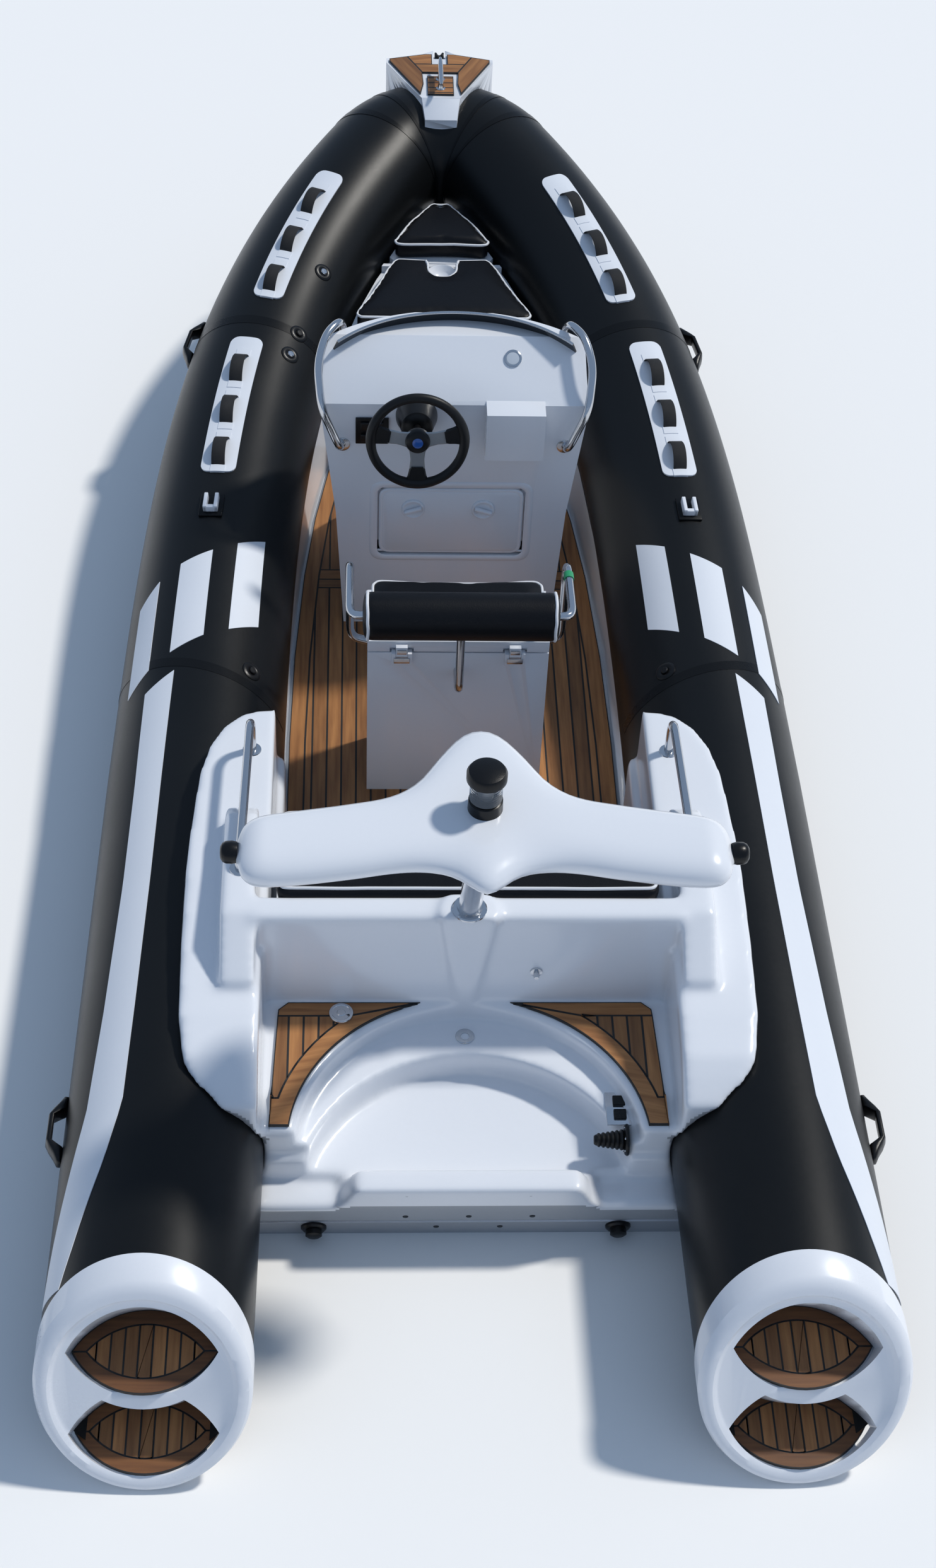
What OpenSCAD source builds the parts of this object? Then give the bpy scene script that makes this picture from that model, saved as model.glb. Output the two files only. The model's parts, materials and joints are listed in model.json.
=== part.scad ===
// Rigid inflatable boat, afloat, with steering console, leaning seat, stern bench and light arch.
// Millimetres. +X starboard, +Y to the bow, +Z up.
// The origin is in the water plane, on the centre plane, under the aft edge of the transom's sill.

/* [Tubes] */
// radius of the tubes over their straight run
tube_r = 260; // [220:5:300]
// half spacing of the tube axes at the transom
tube_x = 796; // [700:1:900]
// height of the tube axes above the water at the stern
tube_z = 270; // [200:5:340]
// inward lean of each straight run in plan, degrees
tube_toe = 0.8; // [0:0.1:2]
// where the straight run ends
tube_bend_y = 1400; // [1200:50:1800]
// where the bow section starts
bow_y = 4280; // [4000:10:4500]
// rise of the tube axes from the straight run to the bow section
sheer = 359; // [200:5:450]
// how fast the rise grows
sheer_power = 1.6; // [1:0.1:2.5]
// tube radius at the bow section
bow_r = 230; // [200:5:260]
// second order term of the tubes' curve in plan, mm per square metre
curve_a = 15.08; // [5:0.1:30]
// how much the tube axes' half spacing at the bow section falls short of its radius
bow_tuck = 20.8; // [0:0.2:40]
// sides of a ring of the curved tubes
ring_sides = 40; // [16:4:48]
// rings along each curved tube
ring_count = 26; // [10:1:40]

/* [Straps] */
// width of the webbing handles
strap_w = 44; // [30:1:60]
// thickness of the webbing handles
strap_t = 4; // [3:0.5:8]
// height of the webbing handles over their pads
strap_rise = 38; // [25:1:50]
// radius of the webbing handles' arch
strap_r = 70; // [55:1:90]

/* [Tube end caps] */
// where the cap meets the tube at its top
cap_joint_y = -364; // [-450:2:-300]
// width of the cap's band along the tube
cap_band = 90; // [60:5:130]
// lean of the cap's face from upright, degrees
cap_tilt = 26.2; // [10:0.2:40]
// how far the band stands proud of the tube
cap_proud = 5; // [0:1:10]
// wall of the tube round the cap's plug
cap_socket_wall = 30; // [20:1:50]
// forward end of the cap's plug
cap_plug_y = -300; // [-340:5:-250]
// width of the lens shaped step pockets, as a share of the tube's radius
tread_span = 1.41; // [1.2:0.01:1.5]
// depth of the pockets square to their walls, as a share of the tube's radius
tread_share = 0.804; // [0.6:0.01:0.88]
// lean of the pockets' walls, degrees
tread_lean = 30; // [0:1:40]
// drop of the lower and the upper pocket's floor under the tube's axis, as shares of its radius
tread_drop = [0.846, 0.046];
// how far the lower and the upper pocket's front edge lies aft of the cap's joint, as shares of the tube's radius
tread_back = [1.254, 0.869];
// width of the white edge round the upper step
step_edge = 28; // [20:1:40]
// thickness of the teak treads
tread_t = 9; // [5:1:15]

/* [Hull] */
// depth of the keel under the water at the transom
keel_z = -200; // [-300:5:-150]
// half width of the flat keel pad at the transom
pad_x = 125; // [60:5:160]
// height of the floor bed inside the hull
bed_z = 76; // [50:2:100]
// where the keel starts to rise
keel_rise_y = 2700; // [2300:50:3100]
// forward end of the stem
stem_y = 4325; // [4200:5:4360]
// where the hull's inner walls rise, ahead of the stern moulding
hull_wall_y = 1450; // [1430:10:1600]
// lean of the transom, degrees
transom_rake = 13; // [8:1:18]
// where the hull's seat starts to tuck under the tubes towards the stem
tuck_y = 3700; // [3600:10:3750]
// gap between the hull's seat and the tubes
seat_gap = 5; // [4:0.5:10]
// top of the stem under the bow section
stem_top_z = 388; // [370:2:392]
// thickness of the teak cockpit sole
sole_t = 14; // [8:1:20]
// white edge left between the sole and the hull's walls
sole_margin = 10; // [6:1:30]

/* [Stern] */
// height of the motor board's top, the sill's middle
sill_mid_z = 260; // [220:5:300]
// height of the sill at both sides
sill_side_z = 180; // [150:5:220]
// length of the slopes between the sill's middle and its sides
sill_ramp = 64; // [40:2:90]
// depth of the sill from the transom's aft edge
sill_d = 92; // [86:2:100]
// half width of the raised motor board
board_x = 285; // [240:5:320]
// thickness of the transom at its sill
transom_t = 70; // [50:2:90]
// height of the aft deck
deck_z = 370; // [330:5:400]
// half width of the aft deck
deck_x = 545; // [500:5:560]
// aft face of the bench's back
back_y = 534; // [500:2:570]
// top of the bench's back
back_z = 720; // [680:5:760]
// thickness of the bench's back
back_t = 80; // [60:5:110]
// height of the bench seat under its cushion
bench_z = 420; // [380:5:460]
// front of the bench seat
bench_y = 1120; // [1000:10:1200]
// half width between the coamings
coaming_x = 530; // [520:2:580]
// top of the coamings
coaming_z = 620; // [580:5:660]
// radius of the motor's upper bolt holes
bolt_r = 6.5; // [5:0.5:8]
// distance between the motor's upper bolt holes
bolt_spacing = 327; // [250:1:360]
// height of the motor's upper bolt holes
bolt_z = 230; // [220:1:245]
// radius of the upper splash well
well_r = 452; // [400:2:470]
// floor of the upper splash well
well_z = 305; // [280:5:330]
// radius of the lower splash well
sump_r = 440; // [400:2:450]
// middle of the lower splash well's arc, aft of the transom's face
sump_y = -30; // [-60:2:0]
// floor of the lower splash well
sump_z = 205; // [180:5:230]
// seat of the cable boot on the well's wall
boot_x = 420; // [400:1:424]
// height of the cable boot
boot_z = 290; // [270:2:310]
// thickness of the bench cushions
bench_pad_t = 85; // [60:5:110]

/* [Arch] */
// height of the arch's underside
arch_z = 1375; // [1200:5:1500]
// thickness of the arch
arch_t = 92; // [70:2:120]
// radius of the arch's post
post_r = 30; // [24:1:38]
// where the post stands on the bench's back
post_y = 552; // [530:2:580]
// where the post meets the arch
post_top_y = 236; // [200:2:300]
// radius of the beacon
beacon_r = 47; // [35:1:55]
// height of the beacon
beacon_h = 128; // [100:2:160]
// fore and aft place of the beacon on the arch
beacon_y = 224; // [200:2:260]

/* [Seat] */
// half width of the seat box
seat_x = 266; // [230:2:300]
// aft face of the seat box
seat_y = 1600; // [1550:5:1650]
// fore and aft depth of the seat box
seat_d = 225; // [200:5:300]
// height of the seat box's rim
seat_z = 668; // [600:2:720]
// wall of the seat box
seat_wall = 16; // [10:1:25]
// height of the lid over the rim
lid_h = 40; // [25:1:50]
// thickness of the seat cushion
seat_pad_t = 52; // [40:2:90]
// aft edge of the seat cushion, ahead of the box's aft face
seat_pad_y = 60; // [50:2:80]
// length of the moulded carrying handles
handle_l = 210; // [180:5:240]
// radius of the bolster
bolster_r = 70; // [55:1:85]
// half length of the bolster
bolster_x = 276; // [230:2:300]
// height of the bolster's axis
bolster_z = 882; // [840:2:900]
// fore and aft place of the bolster's axis
bolster_y = 1522; // [1480:2:1560]
// radius of the stainless rails
rail_r = 12.5; // [10:0.5:16]

/* [Console] */
// aft face of the console
console_y = 2370; // [2300:5:2450]
// half width of the console at the dash
console_x = 376; // [340:2:400]
// radius of the console's rounded front at the bed
console_bow = 940; // [900:5:980]
// radius of the windscreen's foot, round the same upright axis
screen_r = 616; // [580:2:640]
// half width of the console at the water plane, where its sides' slope starts
console_base_x = 338; // [300:2:380]
// half width of the console at the dash
console_top_x = 408; // [390:2:420]
// height up to which the console's sides flare
flare_z = 760; // [700:10:820]
// front of the console at the sole
console_front_y = 3000; // [2850:10:3100]
// lower edge of the sloped dash
dash_z = 985; // [900:5:1000]
// top of the sloped dash
dash_top_z = 1120; // [1050:5:1200]
// front of the sloped dash
dash_top_y = 2540; // [2500:5:2600]
// wall of the console
console_wall = 18; // [12:1:25]
// half width and the lower and upper edges of the console hatch
hatch_x = 229; // [200:1:250]
// lower edge of the hatch
hatch_z0 = 391; // [350:1:420]
// upper edge of the hatch
hatch_z1 = 655; // [620:1:700]
// thickness of the hatch
hatch_t = 14; // [8:1:20]
// side offset of the steering wheel
wheel_x = -117; // [-150:1:0]
// distance of the wheel's middle from the console's aft face
wheel_out = 180; // [150:2:220]
// height of the wheel's middle
wheel_z = 985; // [940:1:1020]
// lean of the wheel's shaft, degrees
wheel_tilt = 12; // [0:1:40]
// radius of the wheel to the middle of its rim
wheel_r = 141; // [140:1:180]
// radius of the rim
rim_r = 16; // [12:1:20]
// radius of the wheel's shaft
shaft_r = 12; // [8:1:16]

/* [Bow] */
// aft face of the bow locker
locker_y = 3290; // [3200:10:3350]
// top of the bow locker
locker_z = 530; // [500:5:570]
// thickness of the bow cushions
bow_pad_t = 70; // [50:2:90]
// joint between the locker's fixed top and its lid
lid_y = 3768; // [3720:2:3800]
// hinge line of the locker lid
lid_hinge_y = 4072; // [4030:2:4100]
// height of the hinge line over the locker's top
lid_hinge_up = 30; // [20:1:40]
// thickness of the locker lid
lid_t = 26; // [15:1:30]
// top of the bow step
step_z = 900; // [885:1:930]
// height of the bow step's block over its lowest edge
step_h = 130; // [100:5:150]
// forward tip of the bow step
step_tip_y = 4650; // [4620:2:4680]
// radius of the bow roller
roller_r = 22; // [16:1:28]
// half width of the bow roller
roller_x = 17; // [12:1:25]

/* [Clearances] */
// gap round moving panels
gap = 5; // [3:0.5:8]
// gap between a fixed part and the tube it is moulded to
fit = 0.4; // [0.2:0.1:2]
// running gap round hinge pins and shafts
pin_gap = 0.3; // [0.1:0.05:0.5]
// radius of the hinge pins
pin_r = 4; // [3:0.5:6]
// outer radius of the hinge knuckles
knuckle_r = 8; // [6:0.5:12]

/* [Hidden] */
$fn = 64;
bow_len = (bow_y - tube_bend_y) / 1000;
// fourth order term of the tubes' curve in plan, which brings them together at the bow section
curve_b = (tube_x - tan(tube_toe) * bow_y - curve_a * pow(bow_len, 2) - bow_r + bow_tuck) / pow(bow_len, 4);
function along_m(y) = max(0, y - tube_bend_y) / 1000;
function tx(y) = tube_x - tan(tube_toe) * y - curve_a * pow(along_m(y), 2) - curve_b * pow(along_m(y), 4);
function tz(y) = tube_z + sheer * pow(along_m(y) / bow_len, sheer_power);
function tr(y) = tube_r - (tube_r - bow_r) * along_m(y) / bow_len;
function unit(v) = v / norm(v);
// direction of the starboard tube's axis
function tdir(y) = unit([
    -tan(tube_toe) - (2 * curve_a * along_m(y) + 4 * curve_b * pow(along_m(y), 3)) / 1000,
    1,
    along_m(y) <= 0 ? 0 : sheer * sheer_power * pow(along_m(y) / bow_len, sheer_power - 1) / bow_len / 1000]);
// a point of the starboard tube's skin, a degrees up from the outboard side
function skin(y, a, out) =
    let (d = tdir(y), h = unit(cross(d, [0, 0, 1])), w = cross(h, d))
    [tx(y), y, tz(y)] + (tr(y) + out) * (cos(a) * h + sin(a) * w);
bow_slope = atan(sheer * sheer_power / bow_len / 1000);
bow_dir = tdir(bow_y);
bow_turn = asin(-bow_dir[0]);
bow_bend = tx(bow_y) / cos(bow_turn);
bow_c = [0, bow_y - bow_bend * sin(bow_turn) * cos(bow_slope), tz(bow_y) - bow_bend * sin(bow_turn) * sin(bow_slope)];
tread_w = tread_span * tube_r;
tread_d = tread_share * tube_r;
tread_z = [for (q = tread_drop) tube_z - q * tube_r];
tread_y = [for (q = tread_back) cap_joint_y - q * tube_r];
sole_z = bed_z + sole_t;
wheel_y = console_y - wheel_out;
seat_lid_z = seat_z + gap;
roller_at = [step_tip_y - 28, step_z - 16];
wheel_axis = [0, -cos(wheel_tilt), sin(wheel_tilt)];

// mirrored pair about the centre plane
module both() {
    children();
    mirror([1, 0, 0]) children();
}

// a straight round bar between two points
module bar(a, b, r) {
    d = b - a;
    translate(a) rotate([0, acos(d[2] / norm(d)), atan2(d[1], d[0])]) cylinder(r = r, h = norm(d));
}

// a round pipe through points, with a ball at every corner
module pipe(pts, r) {
    for (i = [0 : len(pts) - 2]) bar(pts[i], pts[i + 1], r);
    for (i = [1 : len(pts) - 2]) translate(pts[i]) sphere(r + 0.6);
}

// a block with round upright edges
module slab(x, y, z, r) {
    linear_extrude(z) union() {
        translate([-x / 2 + r, -y / 2]) square([x - 2 * r, y]);
        translate([-x / 2, -y / 2 + r]) square([x, y - 2 * r]);
        for (i = [-1, 1], j = [-1, 1]) translate([i * (x / 2 - r), j * (y / 2 - r)]) circle(r);
    }
}

// closed skin over rings of points, all of the same count
module loft(rings) {
    n = len(rings[0]);
    m = len(rings);
    polyhedron(
        [for (r = rings) each r],
        concat(
            [[for (j = [0 : n - 1]) j]],
            [for (i = [0 : m - 2], j = [0 : n - 1]) each [
                [i * n + j, (i + 1) * n + (j + 1) % n, i * n + (j + 1) % n],
                [i * n + j, (i + 1) * n + j, (i + 1) * n + (j + 1) % n]]],
            [[for (j = [n - 1 : -1 : 0]) (m - 1) * n + j]]));
}

// side profile in y and z, swept across from -x to x
module across(x, pts) {
    rotate([90, 0, 90]) translate([0, 0, -x]) linear_extrude(2 * x) polygon(pts);
}

// symmetric outline from a table of distances and half widths, narrowed by t
module outline(rows, t) {
    polygon(concat([for (q = rows) [q[1] - t, q[0]]], [for (i = [len(rows) - 1 : -1 : 0]) [t - rows[i][1], rows[i][0]]]));
}

// straight starboard tube run of radius r from y0 to y1 along its own axis
module straight_run(r, y0, y1) {
    translate([tube_x, 0, tube_z]) rotate([0, 0, tube_toe]) rotate([-90, 0, 0])
        translate([0, 0, y0 / cos(tube_toe)]) cylinder(r = r, h = (y1 - y0) / cos(tube_toe));
}

// everything aft of a leaning plane that passes y at the tube's top
module aft_of(y) {
    translate([0, y, tube_z + tube_r]) rotate([-cap_tilt, 0, 0]) translate([0, -2000, -2000]) cube([2000, 2000, 4000]);
}

// starboard tube with the bow section's middle left out
module curved_run() {
    loft([for (i = [0 : ring_count]) let (y = tube_bend_y + (bow_y - fit - tube_bend_y) * i / ring_count)
        [for (j = [0 : ring_sides - 1]) skin(y, 360 * j / ring_sides, 0)]]);
}

// the bow section's torus, of tube radius r
module bow_ring(r, half) {
    translate(bow_c) rotate([bow_slope, 0, 0]) rotate([0, 0, 90 - half])
        rotate_extrude(angle = 2 * half) translate([bow_bend, 0]) circle(r);
}

// lens of width w and depth d
module lens(w, d) {
    R = (w * w / 4 + d * d / 4) / d;
    intersection() {
        translate([0, R - d / 2]) circle(R);
        translate([0, d / 2 - R]) circle(R);
    }
}

// leaning run of step pocket i
module pocket_run(i, grow) translate([tube_x - tan(tube_toe) * tread_y[i], tread_y[i], tread_z[i]]) rotate([tread_lean, 0, 0])
    translate([0, tread_d / 2, -300]) linear_extrude(700) lens(tread_w + grow, tread_d + grow);

// one step pocket of the starboard cap: i 0 lower, 1 upper
module pocket(i, grow) {
    difference() {
        pocket_run(i, grow);
        translate([0, -1500, tread_z[i] - 600]) cube([1600, 2000, 600]);
        if (i == 0) pocket_run(1, 2 * step_edge);
    }
}

module tube_aft() {
    difference() {
        straight_run(tube_r, -900, tube_bend_y);
        aft_of(cap_joint_y);
        straight_run(tube_r - cap_socket_wall, -950, cap_plug_y + 20);
    }
}

module tube_port_aft() color([0.02, 0.02, 0.03]) mirror([1, 0, 0]) tube_aft();
module tube_starboard_aft() color([0.02, 0.02, 0.03]) tube_aft();
module tube_port_fwd() color([0.02, 0.02, 0.03]) mirror([1, 0, 0]) curved_run();
module tube_starboard_fwd() color([0.02, 0.02, 0.03]) curved_run();
module tube_bow() color([0.02, 0.02, 0.03]) bow_ring(bow_r, 90 - bow_turn);

module cap() {
    difference() {
        union() {
            intersection() {
                straight_run(tube_r + cap_proud, -950, 0);
                aft_of(cap_joint_y);
            }
            straight_run(tube_r - cap_socket_wall - fit, -950, cap_plug_y);
        }
        aft_of(cap_joint_y - cap_band);
        pocket(0, 0);
        pocket(1, 0);
    }
}

module cap_port() color([0.93, 0.94, 0.96]) mirror([1, 0, 0]) cap();
module cap_starboard() color([0.93, 0.94, 0.96]) cap();

// four teak treads on the pocket floors
module cap_treads() color([0.55, 0.34, 0.17]) both() for (i = [0, 1]) intersection() {
    pocket(i, -8);
    translate([0, -1500, tread_z[i]]) cube([1600, 2000, tread_t]);
    translate([0, tread_y[i] + 6, -500]) cube([1600, 2000, 1500]);
    union() {
        straight_run(tube_r - cap_socket_wall - fit, -950, 0);
        aft_of(cap_joint_y - fit);
    }
}

// hull section at y: keel pad, chine, side, tube seat, inner wall, floor bed
function keel_at(y) = y < keel_rise_y ? keel_z : keel_z + 545 * pow((y - keel_rise_y) / (stem_y - keel_rise_y), 2.3);
function bed_at(y) = max(bed_z, min(keel_at(y) + 60, stem_top_z - 26));
// place along the tube whose skin at angle a lies at y
function seat_run(y, a, n) = n == 0 ? y : let (q = seat_run(y, a, n - 1)) min(bow_y, q + y - skin(q, a, seat_gap)[1]);
function seat_at(y, a) = y > bow_y - 80 ? [34, y, stem_top_z] : skin(seat_run(y, a, 4), a, seat_gap);
// half width between the hull's inner walls at the floor bed
function wall_half(y) = min(seat_at(y, 205 + 42 * min(1, max(0, y - tuck_y) / 380))[0] - 1, coaming_x - 2);
function hull_ring(y, aft) =
    let (low = y < hull_wall_y, stem = y > bow_y - 80, t = min(1, max(0, y - tuck_y) / 380), o = seat_at(y, 232 + 25 * t), m = seat_at(y, low ? 230 : 218.5 + 33.5 * t), i = seat_at(y, low ? 228 : 205 + 42 * t), k = keel_at(y), b = bed_at(y),
        p = max(8, pad_x * (1 - max(0, y) / 3000)),
        c = [o[0] * 0.965, k + (o[2] - k) * 0.44],
        ix = stem ? 22 : low ? i[0] - 6 : wall_half(y), iz = stem ? stem_top_z - 4 : low ? b - 3 : max(i[2], b + 4), fx = min(ix - 4, wall_half(y) - 8),
        half = [[p, k], c, [o[0], o[2]], stem ? [28, stem_top_z - 2] : [m[0] - 1, m[2] - 1], [ix, iz], [fx, b]])
    [for (q = concat([for (j = [5 : -1 : 0]) [-half[j][0], half[j][1]]], half))
        [q[0], y + (aft ? (sill_side_z - q[1]) * tan(transom_rake) : 0), q[1]]];

module hull() color([0.93, 0.94, 0.96]) loft([for (y = [0, 350, 900, hull_wall_y - 20, hull_wall_y + 60, 1800, 2200, 2600, 2900, 3150, 3400, 3600, 3700, 3800, 3890, 3980, 4080, stem_y])
    hull_ring(y, y == 0)]);

// half width of the console at height z
function console_half(z) = console_base_x + (console_x - console_base_x) * z / flare_z;

// teak sole between the bench and the bow locker
module cockpit_sole() color([0.55, 0.34, 0.17]) translate([0, 0, bed_z]) linear_extrude(sole_t) difference() {
    both() polygon(concat([[0, locker_y - 4], [0, bench_y + 6]],
        [for (y = [bench_y + 6, 1800, 2200, 2600, 2900, 3150, locker_y - 4]) [wall_half(y) - 8 - sole_margin, y]]));
    translate([-seat_x - 1, seat_y - 1]) square([2 * seat_x + 2, seat_d + 2]);
    translate([-console_half(sole_z) - 0.5, console_y - 0.5]) square([2 * console_half(sole_z) + 1, console_front_y - console_y + 1]);
}

// stern moulding in plan: distance from the transom, half width
stern_plan = [[0, 558], [100, 645], [155, 708], [205, 737], [333, 753], [560, 758], [800, 757], [960, 750], [1160, 736], [1270, 712], [1346, 676], [1392, 630], [1412, 575], [1418, coaming_x - 24]];

// stern moulding's top edge: distance from the transom, height
stern_top = [[0, sill_mid_z], [52, sill_mid_z], [72, 452], [100, 494], [155, 530], [205, 558], [330, 582], [560, 602], [790, coaming_z], [1500, coaming_z]];

// tapered boss under the arch's post, up to height z
module post_boss(z) translate([0, back_y + 16, deck_z - 10]) cylinder(r1 = 30, r2 = 78, h = z - deck_z + 10);

// stern moulding: bench, coamings, aft deck, splash well and transom sill
module stern_moulding() color([0.93, 0.94, 0.96]) difference() {
    union() {
        intersection() {
            translate([0, 0, bed_z]) linear_extrude(700) polygon(concat(
                [for (q = stern_plan) [q[1], q[0]]],
                [for (i = [len(stern_plan) - 1 : -1 : 0]) [-stern_plan[i][1], stern_plan[i][0]]]));
            across(900, concat([[1500, 0], [0, 0]], stern_top));
        }
        translate([-deck_x - 20, back_y, bed_z]) cube([2 * deck_x + 40, back_t, back_z - bed_z]);
        post_boss(back_z + 12);
        translate([-board_x, 0, bed_z]) cube([2 * board_x, transom_t, sill_mid_z - bed_z]);
        both() translate([coaming_x + 30, 0, 0]) intersection() {
            translate([0, 400, bed_z]) cube([92, 560, 700]);
            across(900, [[400, 500], [400, 612], [560, back_z], [900, back_z], [960, 690], [960, 500]]);
        }
    }
    both() straight_run(tube_r + fit, -200, tube_bend_y + 60);
    // aft deck over the wells
    translate([-deck_x, transom_t + 40, deck_z]) cube([2 * deck_x, back_y - transom_t - 40 - 70, 800]);
    difference() {
        translate([-deck_x, transom_t + 40, deck_z]) cube([2 * deck_x, back_y - transom_t - 40, 800]);
        post_boss(back_z + 12);
    }
    // upper and lower splash wells, open to the transom's sill
    intersection() {
        translate([0, transom_t, well_z]) cylinder(r = well_r, h = 800);
        translate([-600, transom_t, 0]) cube([1200, 900, 900]);
    }
    intersection() {
        translate([0, sump_y, sump_z]) cylinder(r = sump_r, h = 800);
        translate([-600, transom_t, 0]) cube([1200, 900, 900]);
    }
    // side steps down to the sill
    translate([0, sill_d, 0]) rotate([90, 0, 0]) linear_extrude(sill_d + 10) both() polygon(concat([[board_x, 1200]],
        [for (k = [0 : 8]) [board_x + sill_ramp * k / 8, sill_mid_z - (sill_mid_z - sill_side_z) * (1 - cos(180 * k / 8)) / 2]],
        [[900, sill_side_z], [900, 1200]]));
    translate([-deck_x, -10, sill_mid_z]) cube([2 * deck_x, transom_t + 50, 800]);
    // bench seat and legroom
    translate([-coaming_x, back_y + back_t, bench_z]) cube([2 * coaming_x, 1000, 800]);
    translate([25 - coaming_x, bench_y, 0]) cube([2 * coaming_x - 50, 900, 1500]);
    both() translate([coaming_x - 85, bench_y, 0]) cube([200, 900, sole_z + 30]);
    // flat seat of the cable boot
    translate([0, 86, boot_z - 46]) cube([boot_x, 98, 300]);
    // motor bolt holes through the board
    for (x = [-bolt_spacing / 2, bolt_spacing / 2]) translate([x, -20, bolt_z]) rotate([-90, 0, 0]) cylinder(r = bolt_r, h = transom_t + 40);
    // raked transom face
    translate([0, 0, sill_side_z]) rotate([transom_rake, 0, 0]) translate([-900, -400, -400]) cube([1800, 400, 400]);
}

// bench seat pad and back pad
module bench_cushions() color([0.03, 0.03, 0.05]) {
    translate([0, (bench_y + back_y + back_t + 100) / 2 + 4, bench_z]) slab(2 * coaming_x - 16, bench_y - back_y - back_t - 92, bench_pad_t, 30);
    translate([0, back_y + back_t + 0.3 + 48, bench_z + 0.3]) slab(2 * coaming_x - 40, 96, back_z - bench_z + 22, 30);
}

// sections of the arch in plan: distance from the centre plane, aft edge, forward edge
arch_sections = [[0, 6, 511], [28, 20, 504], [58, 46, 478], [96, 66, 424], [150, 76, 338], [212, 73, 290], [310, 55, 264], [440, 36, 240], [520, 34, 222], [552, 54, 198], [566, 96, 156]];

module arch() color([0.93, 0.94, 0.96]) translate([0, 0, arch_z]) linear_extrude(arch_t) polygon(concat(
    [for (q = arch_sections) [q[0], q[1]]],
    [for (i = [len(arch_sections) - 1 : -1 : 0]) [arch_sections[i][0], arch_sections[i][2]]],
    [for (i = [1 : len(arch_sections) - 1]) [-arch_sections[i][0], arch_sections[i][2]]],
    [for (i = [len(arch_sections) - 1 : -1 : 1]) [-arch_sections[i][0], arch_sections[i][1]]]));

module arch_post() color([0.7, 0.71, 0.73]) difference() {
    union() {
        translate([0, post_y, back_z + 12]) cylinder(r = 46, h = 9);
        bar([0, post_y + 20, back_z - 20], [0, post_top_y - 12, arch_z + 20], post_r);
    }
    translate([-200, 0, back_z + 12 - 400]) cube([400, 900, 400]);
    translate([-200, 0, arch_z]) cube([400, 900, 400]);
}

// all round light: base, lens and cap
module beacon() color([0.05, 0.05, 0.06]) translate([0, beacon_y, arch_z + arch_t]) {
    cylinder(r = beacon_r - 6, h = 34);
    translate([0, 0, 34]) cylinder(r = beacon_r - 9, h = beacon_h - 34 - 34);
    translate([0, 0, beacon_h - 34]) cylinder(r = beacon_r, h = 34);
}

// side lights on the arch's tips
module nav_lights() color([0.05, 0.05, 0.06]) both() translate([566, 126, arch_z + 46]) rotate([0, 90, 0]) cylinder(r = 27, h = 38);

// grab rails on the coamings
module stern_rails() color([0.7, 0.71, 0.73]) both()
    pipe([[592, 1246, coaming_z], [592, 1246, coaming_z + 112], [593, 1226, coaming_z + 132], [604, 720, coaming_z + 132], [604, 704, coaming_z + 118], [604, 704, back_z]], rail_r);

// teak pads in the aft deck's corners
module stern_teak() color([0.55, 0.34, 0.17]) both() translate([0, 0, deck_z]) linear_extrude(8) difference() {
    polygon([[212, back_y - 8], [deck_x - 67, back_y - 8], [deck_x - 40, back_y - 34], [deck_x - 25, transom_t + 52], [440, transom_t + 52], [400, 200], [200, back_y - 34]]);
    translate([0, transom_t]) circle(well_r + 18);
}

// filler cap, deck drain, wall fitting and switch plate
module deck_fittings() color([0.7, 0.71, 0.73]) {
    translate([-335, 487, deck_z + 8]) cylinder(r = 34, h = 6);
    translate([0, (transom_t + well_r + sump_y + sump_r) / 2, well_z]) cylinder(r = 26, h = 4);
    translate([186, back_y, 500]) rotate([90, 0, 0]) cylinder(r = 11, h = 22);
}

// rubber boot for the motor's cables
module cable_boot() color([0.04, 0.04, 0.05]) translate([boot_x, 135, boot_z]) rotate([0, -90, 0]) {
    cylinder(r = 42, h = 10);
    translate([0, 0, 10]) cylinder(r1 = 26, r2 = 16, h = 75);
}

// transom drains with flap covers and the drain plug
module scuppers() color([0.3, 0.3, 0.32]) {
    both() translate([405, (sill_side_z - 50) * tan(transom_rake) - 0.05, 50]) rotate([90 + transom_rake, 0, 0]) {
        cylinder(r = 34, h = 12);
        translate([0, 0, 12]) cylinder(r = 22, h = 22);
    }
    translate([0, 330 * tan(transom_rake) - 0.05, sill_side_z - 330]) rotate([90 + transom_rake, 0, 0]) cylinder(r = 18, h = 22);
}

// hinge line of the seat lid, aft of the box's face and level with its seam
seat_hinge = [seat_y - knuckle_r - 1.5, seat_z + gap / 2];
// hinge places across the seat, each 60 wide
seat_hinge_x = [-166, 166];

// seat box, open on top under its lid, with its hinge pins
module seat_box() color([0.93, 0.94, 0.96]) {
    difference() {
        translate([-seat_x, seat_y, bed_z]) cube([2 * seat_x, seat_d, seat_z - bed_z]);
        translate([-seat_x + seat_wall, seat_y + seat_wall, bed_z + 24]) cube([2 * seat_x - 2 * seat_wall, seat_d - 2 * seat_wall, seat_z]);
    }
    for (x = seat_hinge_x) {
        translate([x - 30, seat_hinge[0], seat_hinge[1]]) rotate([0, 90, 0]) cylinder(r = pin_r, h = 60);
        for (e = [-30, 18]) translate([x + e, seat_hinge[0] - knuckle_r, seat_z - 34]) cube([12, knuckle_r + 4 + seat_y - seat_hinge[0], 34 + gap / 2 + knuckle_r]);
    }
}

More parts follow.
